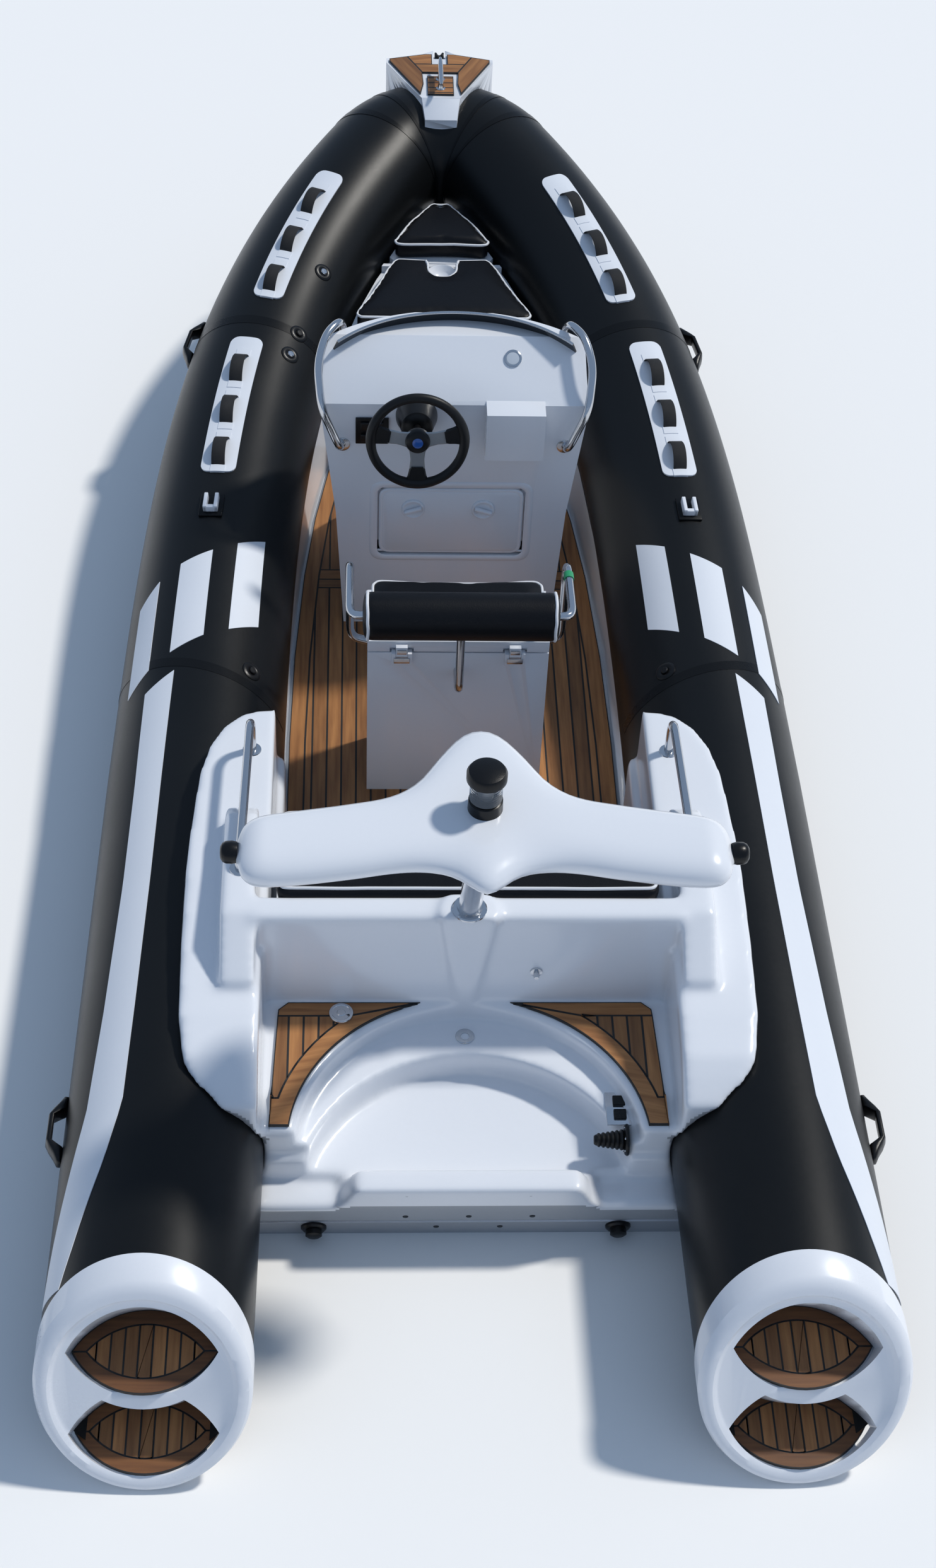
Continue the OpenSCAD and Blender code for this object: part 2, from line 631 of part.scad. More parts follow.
module seat_lid() color([0.93, 0.94, 0.96]) difference() {
    union() {
        translate([-seat_x, seat_y, seat_lid_z]) cube([2 * seat_x, seat_d, lid_h]);
        for (x = seat_hinge_x) {
            translate([x - 17, seat_hinge[0], seat_hinge[1]]) rotate([0, 90, 0]) cylinder(r = knuckle_r, h = 34);
            translate([x - 17, seat_hinge[0] - knuckle_r, seat_hinge[1]]) cube([34, knuckle_r + 4 + seat_y - seat_hinge[0], lid_h - 8]);
        }
    }
    for (x = seat_hinge_x) {
        translate([x - 40, seat_hinge[0], seat_hinge[1]]) rotate([0, 90, 0]) cylinder(r = pin_r + pin_gap, h = 80);
        for (e = [-30 - gap, 18 - 0.5]) translate([x + e, seat_y - 60, seat_z - 60]) cube([12 + gap + 0.5, 60 + 5 + gap, 62 + gap + knuckle_r + gap]);
    }
}

module seat_cushion() color([0.03, 0.03, 0.05]) translate([0, seat_y + (seat_pad_y + seat_d - 4) / 2, seat_lid_z + lid_h]) slab(2 * seat_x - 20, seat_d - 4 - seat_pad_y, seat_pad_t, 28);

module bolster() color([0.03, 0.03, 0.05]) translate([-bolster_x, bolster_y, bolster_z]) rotate([0, 90, 0]) cylinder(r = bolster_r, h = 2 * bolster_x);

// side rails that carry the bolster, and its back post
module seat_frame() color([0.7, 0.71, 0.73]) difference() {
    union() {
        both() pipe([[bolster_x, bolster_y, bolster_z], [322, bolster_y + 6, bolster_z], [318, seat_y + 190, bolster_z - 22], [318, seat_y + 196, 560], [seat_x, seat_y + 190, 540]], rail_r);
        pipe([[0, bolster_y - 25, bolster_z - 40], [0, bolster_y - 25, 600], [0, seat_y, 600]], rail_r);
    }
    translate([-bolster_x, bolster_y, bolster_z]) rotate([0, 90, 0]) cylinder(r = bolster_r + 0.2, h = 2 * bolster_x);
    translate([-seat_x, seat_y, 0]) cube([2 * seat_x, seat_d, seat_z]);
}

// console shell with a hatch hole in its aft face
module console_side(t) across(500, [[console_y + t, bed_z + t], [console_y + t, dash_z - t / 2], [dash_top_y + t / 2, dash_top_z - t], [dash_top_y + 120 - t, dash_top_z - t],
    [dash_top_y + 190 - t, dash_top_z - 160 - t], [console_front_y - t, bed_z + t]]);

module console_form(t) {
    intersection() {
        console_side(t);
        rotate([90, 0, 0]) translate([0, 0, -3300]) linear_extrude(1200)
            outline([[0, console_base_x], [flare_z - 200, console_half(flare_z - 200)], [flare_z + 170, console_top_x], [flare_z + 240, console_top_x], [flare_z + 440, console_top_x - 16]], t);
        translate([0, console_front_y - console_bow, bed_z]) cylinder(r1 = console_bow - t, r2 = screen_r - 4 - t, h = dash_top_z - bed_z);
    }
}

// pivot line of the console hatch, inside its lower edge
hatch_pivot = [console_y + hatch_t / 2, hatch_z0 + hatch_t / 2];

module console() color([0.93, 0.94, 0.96]) {
    difference() {
        union() {
            console_form(0);
            translate([96, console_y - 64, 822]) cube([180, 90, 172]);
        }
        console_form(console_wall);
        translate([-hatch_x - gap, console_y - 20, hatch_z0 - gap - 3]) cube([2 * hatch_x + 2 * gap, 60, hatch_z1 - hatch_z0 + 2 * gap + 3]);
    }
    both() translate([hatch_x - 16, hatch_pivot[0], hatch_pivot[1]]) rotate([0, 90, 0]) cylinder(r = pin_r, h = 16 + gap + 4);
}

module console_hatch() color([0.93, 0.94, 0.96]) difference() {
    translate([-hatch_x, console_y, hatch_z0]) cube([2 * hatch_x, hatch_t, hatch_z1 - hatch_z0]);
    both() translate([hatch_x - 18, hatch_pivot[0], hatch_pivot[1]]) rotate([0, 90, 0]) cylinder(r = pin_r + pin_gap, h = 40);
}

// bent windscreen round the console's top
module windscreen() color([0.2, 0.2, 0.22, 0.6]) difference() {
    translate([0, console_front_y - console_bow, dash_z + 25]) rotate([0, 0, 50]) rotate_extrude(angle = 80)
        polygon([[screen_r, 0], [screen_r + 6, 0], [screen_r - 70, 152], [screen_r - 76, 152]]);
    console_side(-pin_gap);
}

// hoop handrails on the console's sides
module console_rails() color([0.7, 0.71, 0.73]) difference() {
    both() pipe([[345, console_y + 8, 832], [352, console_y - 36, 842], [console_top_x, console_y - 24, 985], [console_top_x + 12, console_y + 50, 1095], [394, console_y + 130, 1148], [356, console_y + 185, 1156], [344, console_y + 225, 1116], [340, console_y + 235, 1040]], rail_r);
    console_form(-0.2);
}

// three spoke wheel on its shaft
module steering_wheel() color([0.05, 0.05, 0.06]) translate([wheel_x, wheel_y, wheel_z]) rotate([90 - wheel_tilt, 0, 0]) {
    rotate_extrude() translate([wheel_r, 0]) circle(rim_r);
    translate([0, 0, -14]) cylinder(r = 38, h = 30);
    for (a = [10, 170, 270]) rotate([0, 0, a]) translate([30, -21, -6]) cube([wheel_r - 38, 42, 10]);
    translate([0, 0, 60 - wheel_out]) cylinder(r = shaft_r, h = wheel_out - 70);
}

// helm bezel, the seat of the wheel's shaft
module helm() color([0.05, 0.05, 0.06]) difference() {
    translate([wheel_x, wheel_y, wheel_z]) rotate([90 - wheel_tilt, 0, 0]) translate([0, 0, -wheel_out - 80]) difference() {
        cylinder(r1 = shaft_r + 58, r2 = shaft_r + 40, h = wheel_out - 10);
        translate([0, 0, wheel_out - 80]) cylinder(r = shaft_r + pin_gap, h = 100);
    }
    translate([-500, console_y, 0]) cube([1000, 500, 1500]);
}

// switch panel and gauge
module dash_fittings() color([0.05, 0.05, 0.06]) {
    translate([-304, console_y - 8, 838]) cube([102, 8, 98]);
    translate([178, console_y + 0.68 * (dash_top_y - console_y), dash_z + 0.68 * (dash_top_z - dash_z)]) rotate([atan((dash_top_z - dash_z) / (dash_top_y - console_y)), 0, 0])
        translate([0, 0, 0.1]) cylinder(r = 27, h = 5);
}

// bow locker in plan: distance from the transom, half width
locker_plan = [[locker_y, 352], [3500, 300], [3700, 234], [3930, 140], [4050, 80], [lid_hinge_y + 34, 50]];
// front cushion in plan: distance from the transom, half width
front_pad = [[lid_y + 18, 160], [lid_y + 36, 172], [3930, 122], [4010, 72], [lid_hinge_y - 16, 42]];
// rear cushion in plan: distance from the transom, half width
rear_pad = [[3372, 294], [3390, 308], [lid_y - 46, 186], [lid_y - 30, 168]];

locker_lid_z = locker_z + 26;
// hinge line of the locker lid, over its forward edge
lid_hinge = [lid_hinge_y, locker_lid_z + lid_hinge_up];

// bow locker between the tubes, with the lid's hinge pin
module bow_locker() color([0.93, 0.94, 0.96]) {
    difference() {
        intersection() {
            linear_extrude(locker_lid_z + 50) outline(locker_plan, 0);
            across(500, [[locker_y, bed_z], [3690, bed_z], [lid_hinge_y + 40, 268], [lid_hinge_y + 40, locker_lid_z], [lid_y - 22, locker_lid_z], [lid_y - 22, locker_z], [locker_y, locker_z]]);
        }
        // well under the lid
        intersection() {
            translate([0, 0, 300]) linear_extrude(600) outline(locker_plan, 22);
            translate([-500, lid_y + 16, 300]) cube([1000, lid_hinge_y - 36 - lid_y, 600]);
        }
        translate([-500, lid_y - gap, locker_lid_z - lid_t - gap]) cube([1000, lid_hinge_y + gap - lid_y, 200]);
    }
    translate([-26, lid_hinge[0], lid_hinge[1]]) rotate([0, 90, 0]) cylinder(r = pin_r, h = 52);
    for (x = [-26, 16]) translate([x, lid_hinge[0] - knuckle_r, locker_lid_z - 8]) cube([10, knuckle_r + 24, lid_hinge[1] - locker_lid_z + 8 + knuckle_r]);
}

module locker_lid() color([0.93, 0.94, 0.96]) difference() {
    union() {
        translate([0, 0, locker_lid_z - lid_t]) linear_extrude(lid_t) outline(concat([[lid_y, 178]], [for (q = front_pad) [q[0], q[1] + 14]]), 0);
        translate([-11, lid_hinge[0], lid_hinge[1]]) rotate([0, 90, 0]) cylinder(r = knuckle_r, h = 22);
        translate([-11, lid_hinge[0] - 34, locker_lid_z - 6]) cube([22, 34, 6 + lid_hinge[1] - locker_lid_z]);
    }
    translate([-40, lid_hinge[0], lid_hinge[1]]) rotate([0, 90, 0]) cylinder(r = pin_r + pin_gap, h = 80);
}

// the front cushion, notched round the hinge
module cushion_front() color([0.03, 0.03, 0.05]) translate([0, 0, locker_lid_z]) linear_extrude(bow_pad_t) difference() {
    outline(front_pad, 0);
    translate([-12, lid_hinge_y - 36]) square([24, 100]);
}

module cushion_rear() color([0.03, 0.03, 0.05]) translate([0, 0, locker_z]) linear_extrude(bow_pad_t) difference() {
    outline(rear_pad, 0);
    translate([0, lid_y - 68]) circle(58);
    translate([-58, lid_y - 68]) square([116, 200]);
}

// bow step in plan: distance from its tip, half width
step_plan = [[-338, 70], [-90, 198], [-62, 198], [-24, 60], [0, 24]];
// teak on the bow step in plan: distance from the step's tip, half width
step_teak_plan = [[-328, 62], [-86, 188], [-72, 186], [-36, 54]];

// step and fairlead on the bow section
module bow_step() color([0.93, 0.94, 0.96]) difference() {
    union() {
        translate([0, step_tip_y, step_z - step_h]) linear_extrude(step_h) outline(step_plan, 0);
        intersection() {
            translate([0, step_tip_y, step_z - step_h]) linear_extrude(step_h) outline([[-416, 58], [-337, 70]], 0);
            translate([0, step_tip_y, step_z]) across(300, [[-416, -step_h], [-337, -step_h], [-337, 0], [-416, -44]]);
        }
    }
    bow_ring(bow_r + fit, 90);
    both() translate([tx(bow_y), bow_y, tz(bow_y)]) rotate([0, 0, bow_turn]) rotate([bow_slope, 0, 0]) rotate([90, 0, 0]) translate([0, 0, -60]) cylinder(r = bow_r + 4, h = 400);
    translate([-roller_x - gap, roller_at[0] - roller_r - 10, roller_at[1] - roller_r - 8]) cube([2 * roller_x + 2 * gap, 100 + roller_r, 100]);
}

// pin of the bow roller, through the step's two cheeks
module roller_pin() color([0.7, 0.71, 0.73]) translate([-roller_x - gap, roller_at[0], roller_at[1]]) rotate([0, 90, 0]) cylinder(r = pin_r, h = 2 * roller_x + 2 * gap);

module bow_step_teak() color([0.55, 0.34, 0.17]) translate([0, 0, step_z]) linear_extrude(7) difference() {
    translate([0, step_tip_y]) outline(step_teak_plan, 0);
    translate([-roller_x - gap - 4, roller_at[0] - roller_r - 30]) square([2 * roller_x + 2 * gap + 8, 200]);
}

module bow_roller() color([0.05, 0.05, 0.06]) translate([-roller_x, roller_at[0], roller_at[1]]) rotate([0, 90, 0]) difference() {
    cylinder(r = roller_r, h = 2 * roller_x);
    translate([0, 0, -1]) cylinder(r = pin_r + pin_gap, h = 2 * roller_x + 2);
}

// horn cleat, fore and aft
module bow_cleat() color([0.7, 0.71, 0.73]) translate([0, step_tip_y - 250, step_z + 7]) {
    for (s = [-1, 1]) translate([0, s * 32, 0]) cylinder(r = 11, h = 40);
    translate([0, 96, 46]) rotate([90, 0, 0]) cylinder(r = 9.5, h = 192);
}

// white pads on the curved tubes: y range and angle range of each
pads = [[2545, 3170, 74, 100], [3370, 3990, 78, 103]];

// a patch of thickness t on the starboard tube
module patch(y0, y1, a0, a1, lift, t, n, m) {
    loft([for (i = [0 : n]) let (y = y0 + (y1 - y0) * i / n) concat(
        [for (j = [0 : m]) skin(y, a0 + (a1 - a0) * j / m, lift + t)],
        [for (j = [m : -1 : 0]) skin(y, a0 + (a1 - a0) * j / m, lift)])]);
}

module strap_pads() color([0.93, 0.94, 0.96]) both() for (p = pads) patch(p[0], p[1], p[2], p[3], 0.5, 5, 10, 6);

// places of the straps on the pads: y and angle
straps = [for (p = pads, i = [0 : 2]) [p[0] + (p[1] - p[0]) * (0.14 + 0.31 * i), (p[2] + p[3]) / 2]];

// webbing handles that stand on starboard pad k, arched along the tube
module pad_straps(k) for (i = [0 : 2]) let (s = straps[3 * k + i], p = skin(s[0], s[1], 6), d = tdir(s[0]))
    translate(p) rotate([0, 0, atan2(d[1], d[0]) - 90]) rotate([asin(d[2]), 0, 0]) rotate([0, 90 - s[1], 0]) difference() {
        translate([-strap_w / 2, 0, strap_rise - strap_r]) rotate([0, 90, 0]) difference() {
            cylinder(r = strap_r, h = strap_w);
            translate([0, 0, -5]) cylinder(r = strap_r - strap_t, h = strap_w + 10);
        }
        translate([-100, -100, -199.7]) cube([200, 200, 200]);
    }

module straps_port_aft() color([0.03, 0.03, 0.03]) mirror([1, 0, 0]) pad_straps(0);
module straps_port_fwd() color([0.03, 0.03, 0.03]) mirror([1, 0, 0]) pad_straps(1);
module straps_starboard_aft() color([0.03, 0.03, 0.03]) pad_straps(0);
module straps_starboard_fwd() color([0.03, 0.03, 0.03]) pad_straps(1);

// moulded carry handles on the tubes' outer sides
module carry_handles() color([0.03, 0.03, 0.03]) both() for (y = [150, 3300]) let (p = skin(y, 8, 0.3), d = tdir(y))
    translate(p) rotate([0, 0, atan2(d[1], d[0]) - 90]) rotate([asin(d[2]), 0, 0]) rotate([0, -8, 0]) difference() {
        translate([0, -handle_l / 2, -26]) cube([46, handle_l, 52]);
        translate([-10, -handle_l / 4, -40]) cube([40, handle_l / 2, 80]);
    }

hull();
cockpit_sole();
stern_moulding();
tube_port_aft();
tube_starboard_aft();
tube_port_fwd();
tube_starboard_fwd();
tube_bow();
cap_port();
cap_starboard();
cap_treads();
bow_step();
bow_step_teak();
bow_roller();
roller_pin();
bow_cleat();
bow_locker();
locker_lid();
cushion_front();
cushion_rear();
console();
windscreen();
console_rails();
steering_wheel();
helm();
console_hatch();
dash_fittings();
seat_box();
seat_lid();
seat_cushion();
bolster();
seat_frame();
bench_cushions();
arch();
arch_post();
beacon();
nav_lights();
stern_rails();
stern_teak();
deck_fittings();
cable_boot();
scuppers();
strap_pads();
straps_port_aft();
straps_port_fwd();
straps_starboard_aft();
straps_starboard_fwd();
carry_handles();
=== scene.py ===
"""Looks of the inflatable boat, built over its CAD frame.

Axes are the frame's own: x to starboard, y forward, z up, metres, with the waterline at z = 0.
"""

from __future__ import annotations

import json
import logging
import math
import random
from dataclasses import dataclass
from enum import Enum
from typing import Iterable, Sequence

import bmesh
import bpy
from mathutils import Matrix, Vector

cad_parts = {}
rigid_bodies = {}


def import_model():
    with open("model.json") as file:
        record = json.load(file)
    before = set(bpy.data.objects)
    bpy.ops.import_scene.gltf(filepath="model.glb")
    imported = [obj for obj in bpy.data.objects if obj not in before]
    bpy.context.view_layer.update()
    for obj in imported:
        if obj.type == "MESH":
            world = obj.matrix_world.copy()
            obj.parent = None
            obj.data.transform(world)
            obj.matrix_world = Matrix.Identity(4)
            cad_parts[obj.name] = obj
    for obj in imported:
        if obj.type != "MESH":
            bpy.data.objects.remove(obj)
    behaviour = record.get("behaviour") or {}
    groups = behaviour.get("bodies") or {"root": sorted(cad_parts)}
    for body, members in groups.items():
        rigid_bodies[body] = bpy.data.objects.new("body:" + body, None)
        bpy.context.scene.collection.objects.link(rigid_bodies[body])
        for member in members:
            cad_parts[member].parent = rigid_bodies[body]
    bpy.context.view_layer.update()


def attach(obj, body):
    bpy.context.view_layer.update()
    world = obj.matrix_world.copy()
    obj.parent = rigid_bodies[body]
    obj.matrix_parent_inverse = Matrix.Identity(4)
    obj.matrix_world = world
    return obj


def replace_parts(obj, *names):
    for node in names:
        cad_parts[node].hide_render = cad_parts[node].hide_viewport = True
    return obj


LOG = logging.getLogger("boat")
Point = Sequence[float]
Colour = tuple[float, float, float]
UP: Point = (0, 0, 1)
AFT: Point = (0, -1, 0)
RAIL_R = 0.0125


class Side(Enum):
    """The two sides of the boat."""

    STARBOARD = 1
    PORT = -1

    @property
    def word(self) -> str:
        """The side's name in small letters."""
        return self.name.lower()


def mirrored(points: Iterable[Point], side: Side = Side.PORT) -> list[tuple[float, ...]]:
    """Points in plan or in space, moved to their side of the boat."""
    return [(x * side.value, *rest) for x, *rest in points]


class Pattern(Enum):
    """Surface structure of a finish."""

    SMOOTH = "smooth"
    WEAVE = "weave"
    LEATHER = "leather"
    RIBS = "ribs"
    BRUSHED = "brushed"


class Wiring:
    """A node tree being wired."""

    def __init__(self, tree: bpy.types.NodeTree) -> None:
        """Start on a tree."""
        self.tree = tree

    def add(self, kind: str, **settings: object) -> bpy.types.Node:
        """Add a node.

        Args:
            kind: The node's type name.
            **settings: Its properties by name; in_<number> sets an input's own value.

        Returns:
            The new node.
        """
        node = self.tree.nodes.new(kind)
        for key, value in settings.items():
            if key.startswith("in_"):
                node.inputs[int(key[3:])].default_value = value
            else:
                setattr(node, key, value)
        return node

    def link(self, source: bpy.types.NodeSocket, target: bpy.types.NodeSocket) -> None:
        """Join two sockets."""
        self.tree.links.new(source, target)


class Effects:
    """Shader node groups that several finishes share."""

    @staticmethod
    def _group(
        name: str, inputs: Iterable[tuple[str, str, float]], outputs: Iterable[tuple[str, str]]
    ) -> tuple[bpy.types.NodeTree, Wiring, bool]:
        """Make an empty group, or find the one made before.

        Args:
            name: The group's name.
            inputs: Name, socket type and own value of every input.
            outputs: Name and socket type of every output.

        Returns:
            The group, its wiring and whether it is new.
        """
        found = bpy.data.node_groups.get(name)
        if found:
            return found, Wiring(found), False
        tree = bpy.data.node_groups.new(name, "ShaderNodeTree")
        for label, kind, value in inputs:
            socket = tree.interface.new_socket(label, in_out="INPUT", socket_type=kind)
            if kind == "NodeSocketFloat":
                socket.default_value = value
        for label, kind in outputs:
            tree.interface.new_socket(label, in_out="OUTPUT", socket_type=kind)
        return tree, Wiring(tree), True

    @classmethod
    def wear(cls) -> bpy.types.NodeTree:
        """Slow patches and fine specks of handling and dust.

        Returns:
            The group, with a Mask output from 0 to 1.
        """
        tree, wire, new = cls._group(
            "wear", [("Scale", "NodeSocketFloat", 3.0)], [("Mask", "NodeSocketFloat")]
        )
        if new:
            start, end = wire.add("NodeGroupInput"), wire.add("NodeGroupOutput")
            place = wire.add("ShaderNodeTexCoord")
            slow = wire.add("ShaderNodeTexNoise", in_3=4.0)
            fine = wire.add("ShaderNodeTexNoise", in_2=90.0, in_3=3.0)
            mix = wire.add("ShaderNodeMath", operation="MULTIPLY_ADD", in_1=0.25)
            wire.link(place.outputs["Object"], slow.inputs["Vector"])
            wire.link(place.outputs["Object"], fine.inputs["Vector"])
            wire.link(start.outputs["Scale"], slow.inputs["Scale"])
            wire.link(fine.outputs[0], mix.inputs[0])
            scaled = wire.add("ShaderNodeMath", operation="MULTIPLY", in_1=0.75)
            wire.link(slow.outputs[0], scaled.inputs[0])
            wire.link(scaled.outputs[0], mix.inputs[2])
            wire.link(mix.outputs[0], end.inputs["Mask"])
        return tree

    @classmethod
    def weave(cls) -> bpy.types.NodeTree:
        """Crossed threads.

        Returns:
            The group, with a Height output from 0 to 1.
        """
        tree, wire, new = cls._group(
            "weave", [("Scale", "NodeSocketFloat", 300.0)], [("Height", "NodeSocketFloat")]
        )
        if new:
            start, end = wire.add("NodeGroupInput"), wire.add("NodeGroupOutput")
            place = wire.add("ShaderNodeTexCoord")
            product = wire.add("ShaderNodeMath", operation="MULTIPLY")
            for index, axis in enumerate(("X", "Y")):
                wave = wire.add("ShaderNodeTexWave", bands_direction=axis)
                wire.link(place.outputs["Object"], wave.inputs["Vector"])
                wire.link(start.outputs["Scale"], wave.inputs["Scale"])
                wire.link(wave.outputs[1], product.inputs[index])
            wire.link(product.outputs[0], end.inputs["Height"])
        return tree

    @classmethod
    def leather(cls) -> bpy.types.NodeTree:
        """Pebbled grain of coated cloth.

        Returns:
            The group, with a Height output from 0 to 1.
        """
        tree, wire, new = cls._group(
            "leather", [("Scale", "NodeSocketFloat", 220.0)], [("Height", "NodeSocketFloat")]
        )
        if new:
            start, end = wire.add("NodeGroupInput"), wire.add("NodeGroupOutput")
            place = wire.add("ShaderNodeTexCoord")
            cells = wire.add("ShaderNodeTexVoronoi")
            wire.link(place.outputs["Object"], cells.inputs["Vector"])
            wire.link(start.outputs["Scale"], cells.inputs["Scale"])
            wire.link(cells.outputs["Distance"], end.inputs["Height"])
        return tree

    @classmethod
    def grain(cls) -> bpy.types.NodeTree:
        """Long fibres of wood, in the board's own length and width.

        Returns:
            The group, with a Mask output from 0 to 1.
        """
        tree, wire, new = cls._group(
            "grain", [("Tone", "NodeSocketFloat", 0.5)], [("Mask", "NodeSocketFloat")]
        )
        if new:
            start, end = wire.add("NodeGroupInput"), wire.add("NodeGroupOutput")
            place = wire.add("ShaderNodeUVMap", uv_map="board")
            shift = wire.add("ShaderNodeVectorMath", operation="MULTIPLY_ADD")
            shift.inputs[1].default_value = (70.0, 5.0, 1.0)
            wire.link(place.outputs[0], shift.inputs[0])
            offset = wire.add("ShaderNodeVectorMath", operation="SCALE")
            offset.inputs[0].default_value = (40.0, 17.0, 9.0)
            wire.link(start.outputs["Tone"], offset.inputs["Scale"])
            wire.link(offset.outputs[0], shift.inputs[2])
            fibres = wire.add("ShaderNodeTexNoise", in_2=1.0, in_3=6.0)
            wire.link(shift.outputs[0], fibres.inputs["Vector"])
            wire.link(fibres.outputs[0], end.inputs["Mask"])
        return tree


@dataclass(frozen=True)
class Finish:
    """A paint, cloth, plastic or metal surface.

    Attributes:
        name: The material's name.
        slot: The record's material slot; not used.
        colour: Base colour, linear.
        shade: Colour of the worn or dusty patches, linear.
        rough: Roughness.
        metal: Metalness.
        coat: Clear coat weight.
        pattern: Surface structure.
        scale: Fineness of the structure.
        depth: Strength of the structure's bump.
        wear: How much of the shade colour shows.
        patch: Scale of the worn patches.
        clear: Transmission weight.
        specular: Specular level.
    """

    name: str
    slot: str
    colour: Colour
    shade: Colour
    rough: float = 0.4
    metal: float = 0.0
    coat: float = 0.0
    pattern: Pattern = Pattern.SMOOTH
    scale: float = 300.0
    depth: float = 0.1
    wear: float = 0.35
    patch: float = 3.0
    clear: float = 0.0
    specular: float = 0.5

    def material(self) -> bpy.types.Material:
        """The finish as a material, made at its first use.

        Returns:
            The material.
        """
        made = bpy.data.materials.get(f"{self.name}_finish")
        if made:
            return made
        made = bpy.data.materials.new(f"{self.name}_finish")
        made.use_nodes = True
        wire = Wiring(made.node_tree)
        shader = made.node_tree.nodes["Principled BSDF"]
        shader.inputs["Metallic"].default_value = self.metal
        shader.inputs["Coat Weight"].default_value = self.coat
        shader.inputs["Coat Roughness"].default_value = 0.08
        shader.inputs["Transmission Weight"].default_value = self.clear
        shader.inputs["Specular IOR Level"].default_value = self.specular
        wear = wire.add("ShaderNodeGroup", node_tree=Effects.wear())
        wear.inputs["Scale"].default_value = self.patch
        tint = wire.add("ShaderNodeMix", data_type="RGBA")
        tint.inputs[6].default_value = (*self.colour, 1.0)
        tint.inputs[7].default_value = (*self.shade, 1.0)
        ramp = wire.add("ShaderNodeMapRange", in_1=0.35, in_2=0.75, in_3=0.0, in_4=self.wear)
        wire.link(wear.outputs["Mask"], ramp.inputs[0])
        wire.link(ramp.outputs[0], tint.inputs[0])
        wire.link(tint.outputs[2], shader.inputs["Base Color"])
        gloss = wire.add(
            "ShaderNodeMapRange", in_1=0.3, in_2=0.8, in_3=self.rough * 0.9,
            in_4=min(1.0, self.rough * 1.25)
        )
        wire.link(wear.outputs["Mask"], gloss.inputs[0])
        wire.link(gloss.outputs[0], shader.inputs["Roughness"])
        self._structure(wire, shader)
        return made

    def _structure(self, wire: Wiring, shader: bpy.types.Node) -> None:
        """Wire the surface structure's bump.

        Args:
            wire: The material's wiring.
            shader: Its Principled node.
        """
        if self.pattern is Pattern.SMOOTH:
            return
        brushed = self.pattern is Pattern.BRUSHED
        if brushed or self.pattern is Pattern.RIBS:
            place = wire.add("ShaderNodeTexCoord")
            stretch = wire.add("ShaderNodeVectorMath", operation="MULTIPLY")
            stretch.inputs[1].default_value = (1.0, 0.05, 0.05) if brushed else (1.0, 1.0, 1.0)
            wire.link(place.outputs["Object"], stretch.inputs[0])
            source = wire.add("ShaderNodeTexNoise" if brushed else "ShaderNodeTexWave")
            source.inputs["Scale"].default_value = self.scale
            wire.link(stretch.outputs[0], source.inputs["Vector"])
            height = source.outputs[0] if brushed else source.outputs[1]
        else:
            group = Effects.weave() if self.pattern is Pattern.WEAVE else Effects.leather()
            source = wire.add("ShaderNodeGroup", node_tree=group)
            source.inputs["Scale"].default_value = self.scale
            height = source.outputs["Height"]
        bump = wire.add("ShaderNodeBump")
        bump.inputs["Strength"].default_value = self.depth
        bump.inputs["Distance"].default_value = 0.001
        wire.link(height, bump.inputs["Height"])
        wire.link(bump.outputs[0], shader.inputs["Normal"])

    def paint(self, obj: bpy.types.Object) -> bpy.types.Object:
        """Give an object this finish as its only one.

        Args:
            obj: The object.

        Returns:
            The same object.
        """
        obj.data.materials.clear()
        obj.data.materials.append(self.material())
        return obj


@dataclass(frozen=True)
class Teak(Finish):
    """Oiled teak, board by board."""

    def material(self) -> bpy.types.Material:
        """The wood, toned by each board's own value.

        Returns:
            The material.
        """
        made = bpy.data.materials.get(f"{self.name}_finish")
        if made:
            return made
        made = bpy.data.materials.new(f"{self.name}_finish")
        made.use_nodes = True
        wire = Wiring(made.node_tree)
        shader = made.node_tree.nodes["Principled BSDF"]
        tone = wire.add("ShaderNodeAttribute", attribute_name="tone")
        grain = wire.add("ShaderNodeGroup", node_tree=Effects.grain())
        wire.link(tone.outputs["Fac"], grain.inputs["Tone"])
        wood = wire.add("ShaderNodeMix", data_type="RGBA")
        wood.inputs[6].default_value = (*self.colour, 1.0)
        wood.inputs[7].default_value = (*self.shade, 1.0)
        ramp = wire.add("ShaderNodeMapRange", in_1=0.3, in_2=0.7, in_3=0.0, in_4=1.0)
        wire.link(grain.outputs["Mask"], ramp.inputs[0])
        wire.link(ramp.outputs[0], wood.inputs[0])
        board = wire.add("ShaderNodeHueSaturation")
        bright = wire.add("ShaderNodeMapRange", in_1=0.0, in_2=1.0, in_3=0.62, in_4=1.18)
        wire.link(tone.outputs["Fac"], bright.inputs[0])
        wire.link(bright.outputs[0], board.inputs["Value"])
        wire.link(wood.outputs[2], board.inputs["Color"])
        wire.link(board.outputs[0], shader.inputs["Base Color"])
        shader.inputs["Roughness"].default_value = self.rough
        bump = wire.add("ShaderNodeBump")
        bump.inputs["Strength"].default_value = 0.25
        bump.inputs["Distance"].default_value = 0.001
        wire.link(grain.outputs["Mask"], bump.inputs["Height"])
        wire.link(bump.outputs[0], shader.inputs["Normal"])
        return made


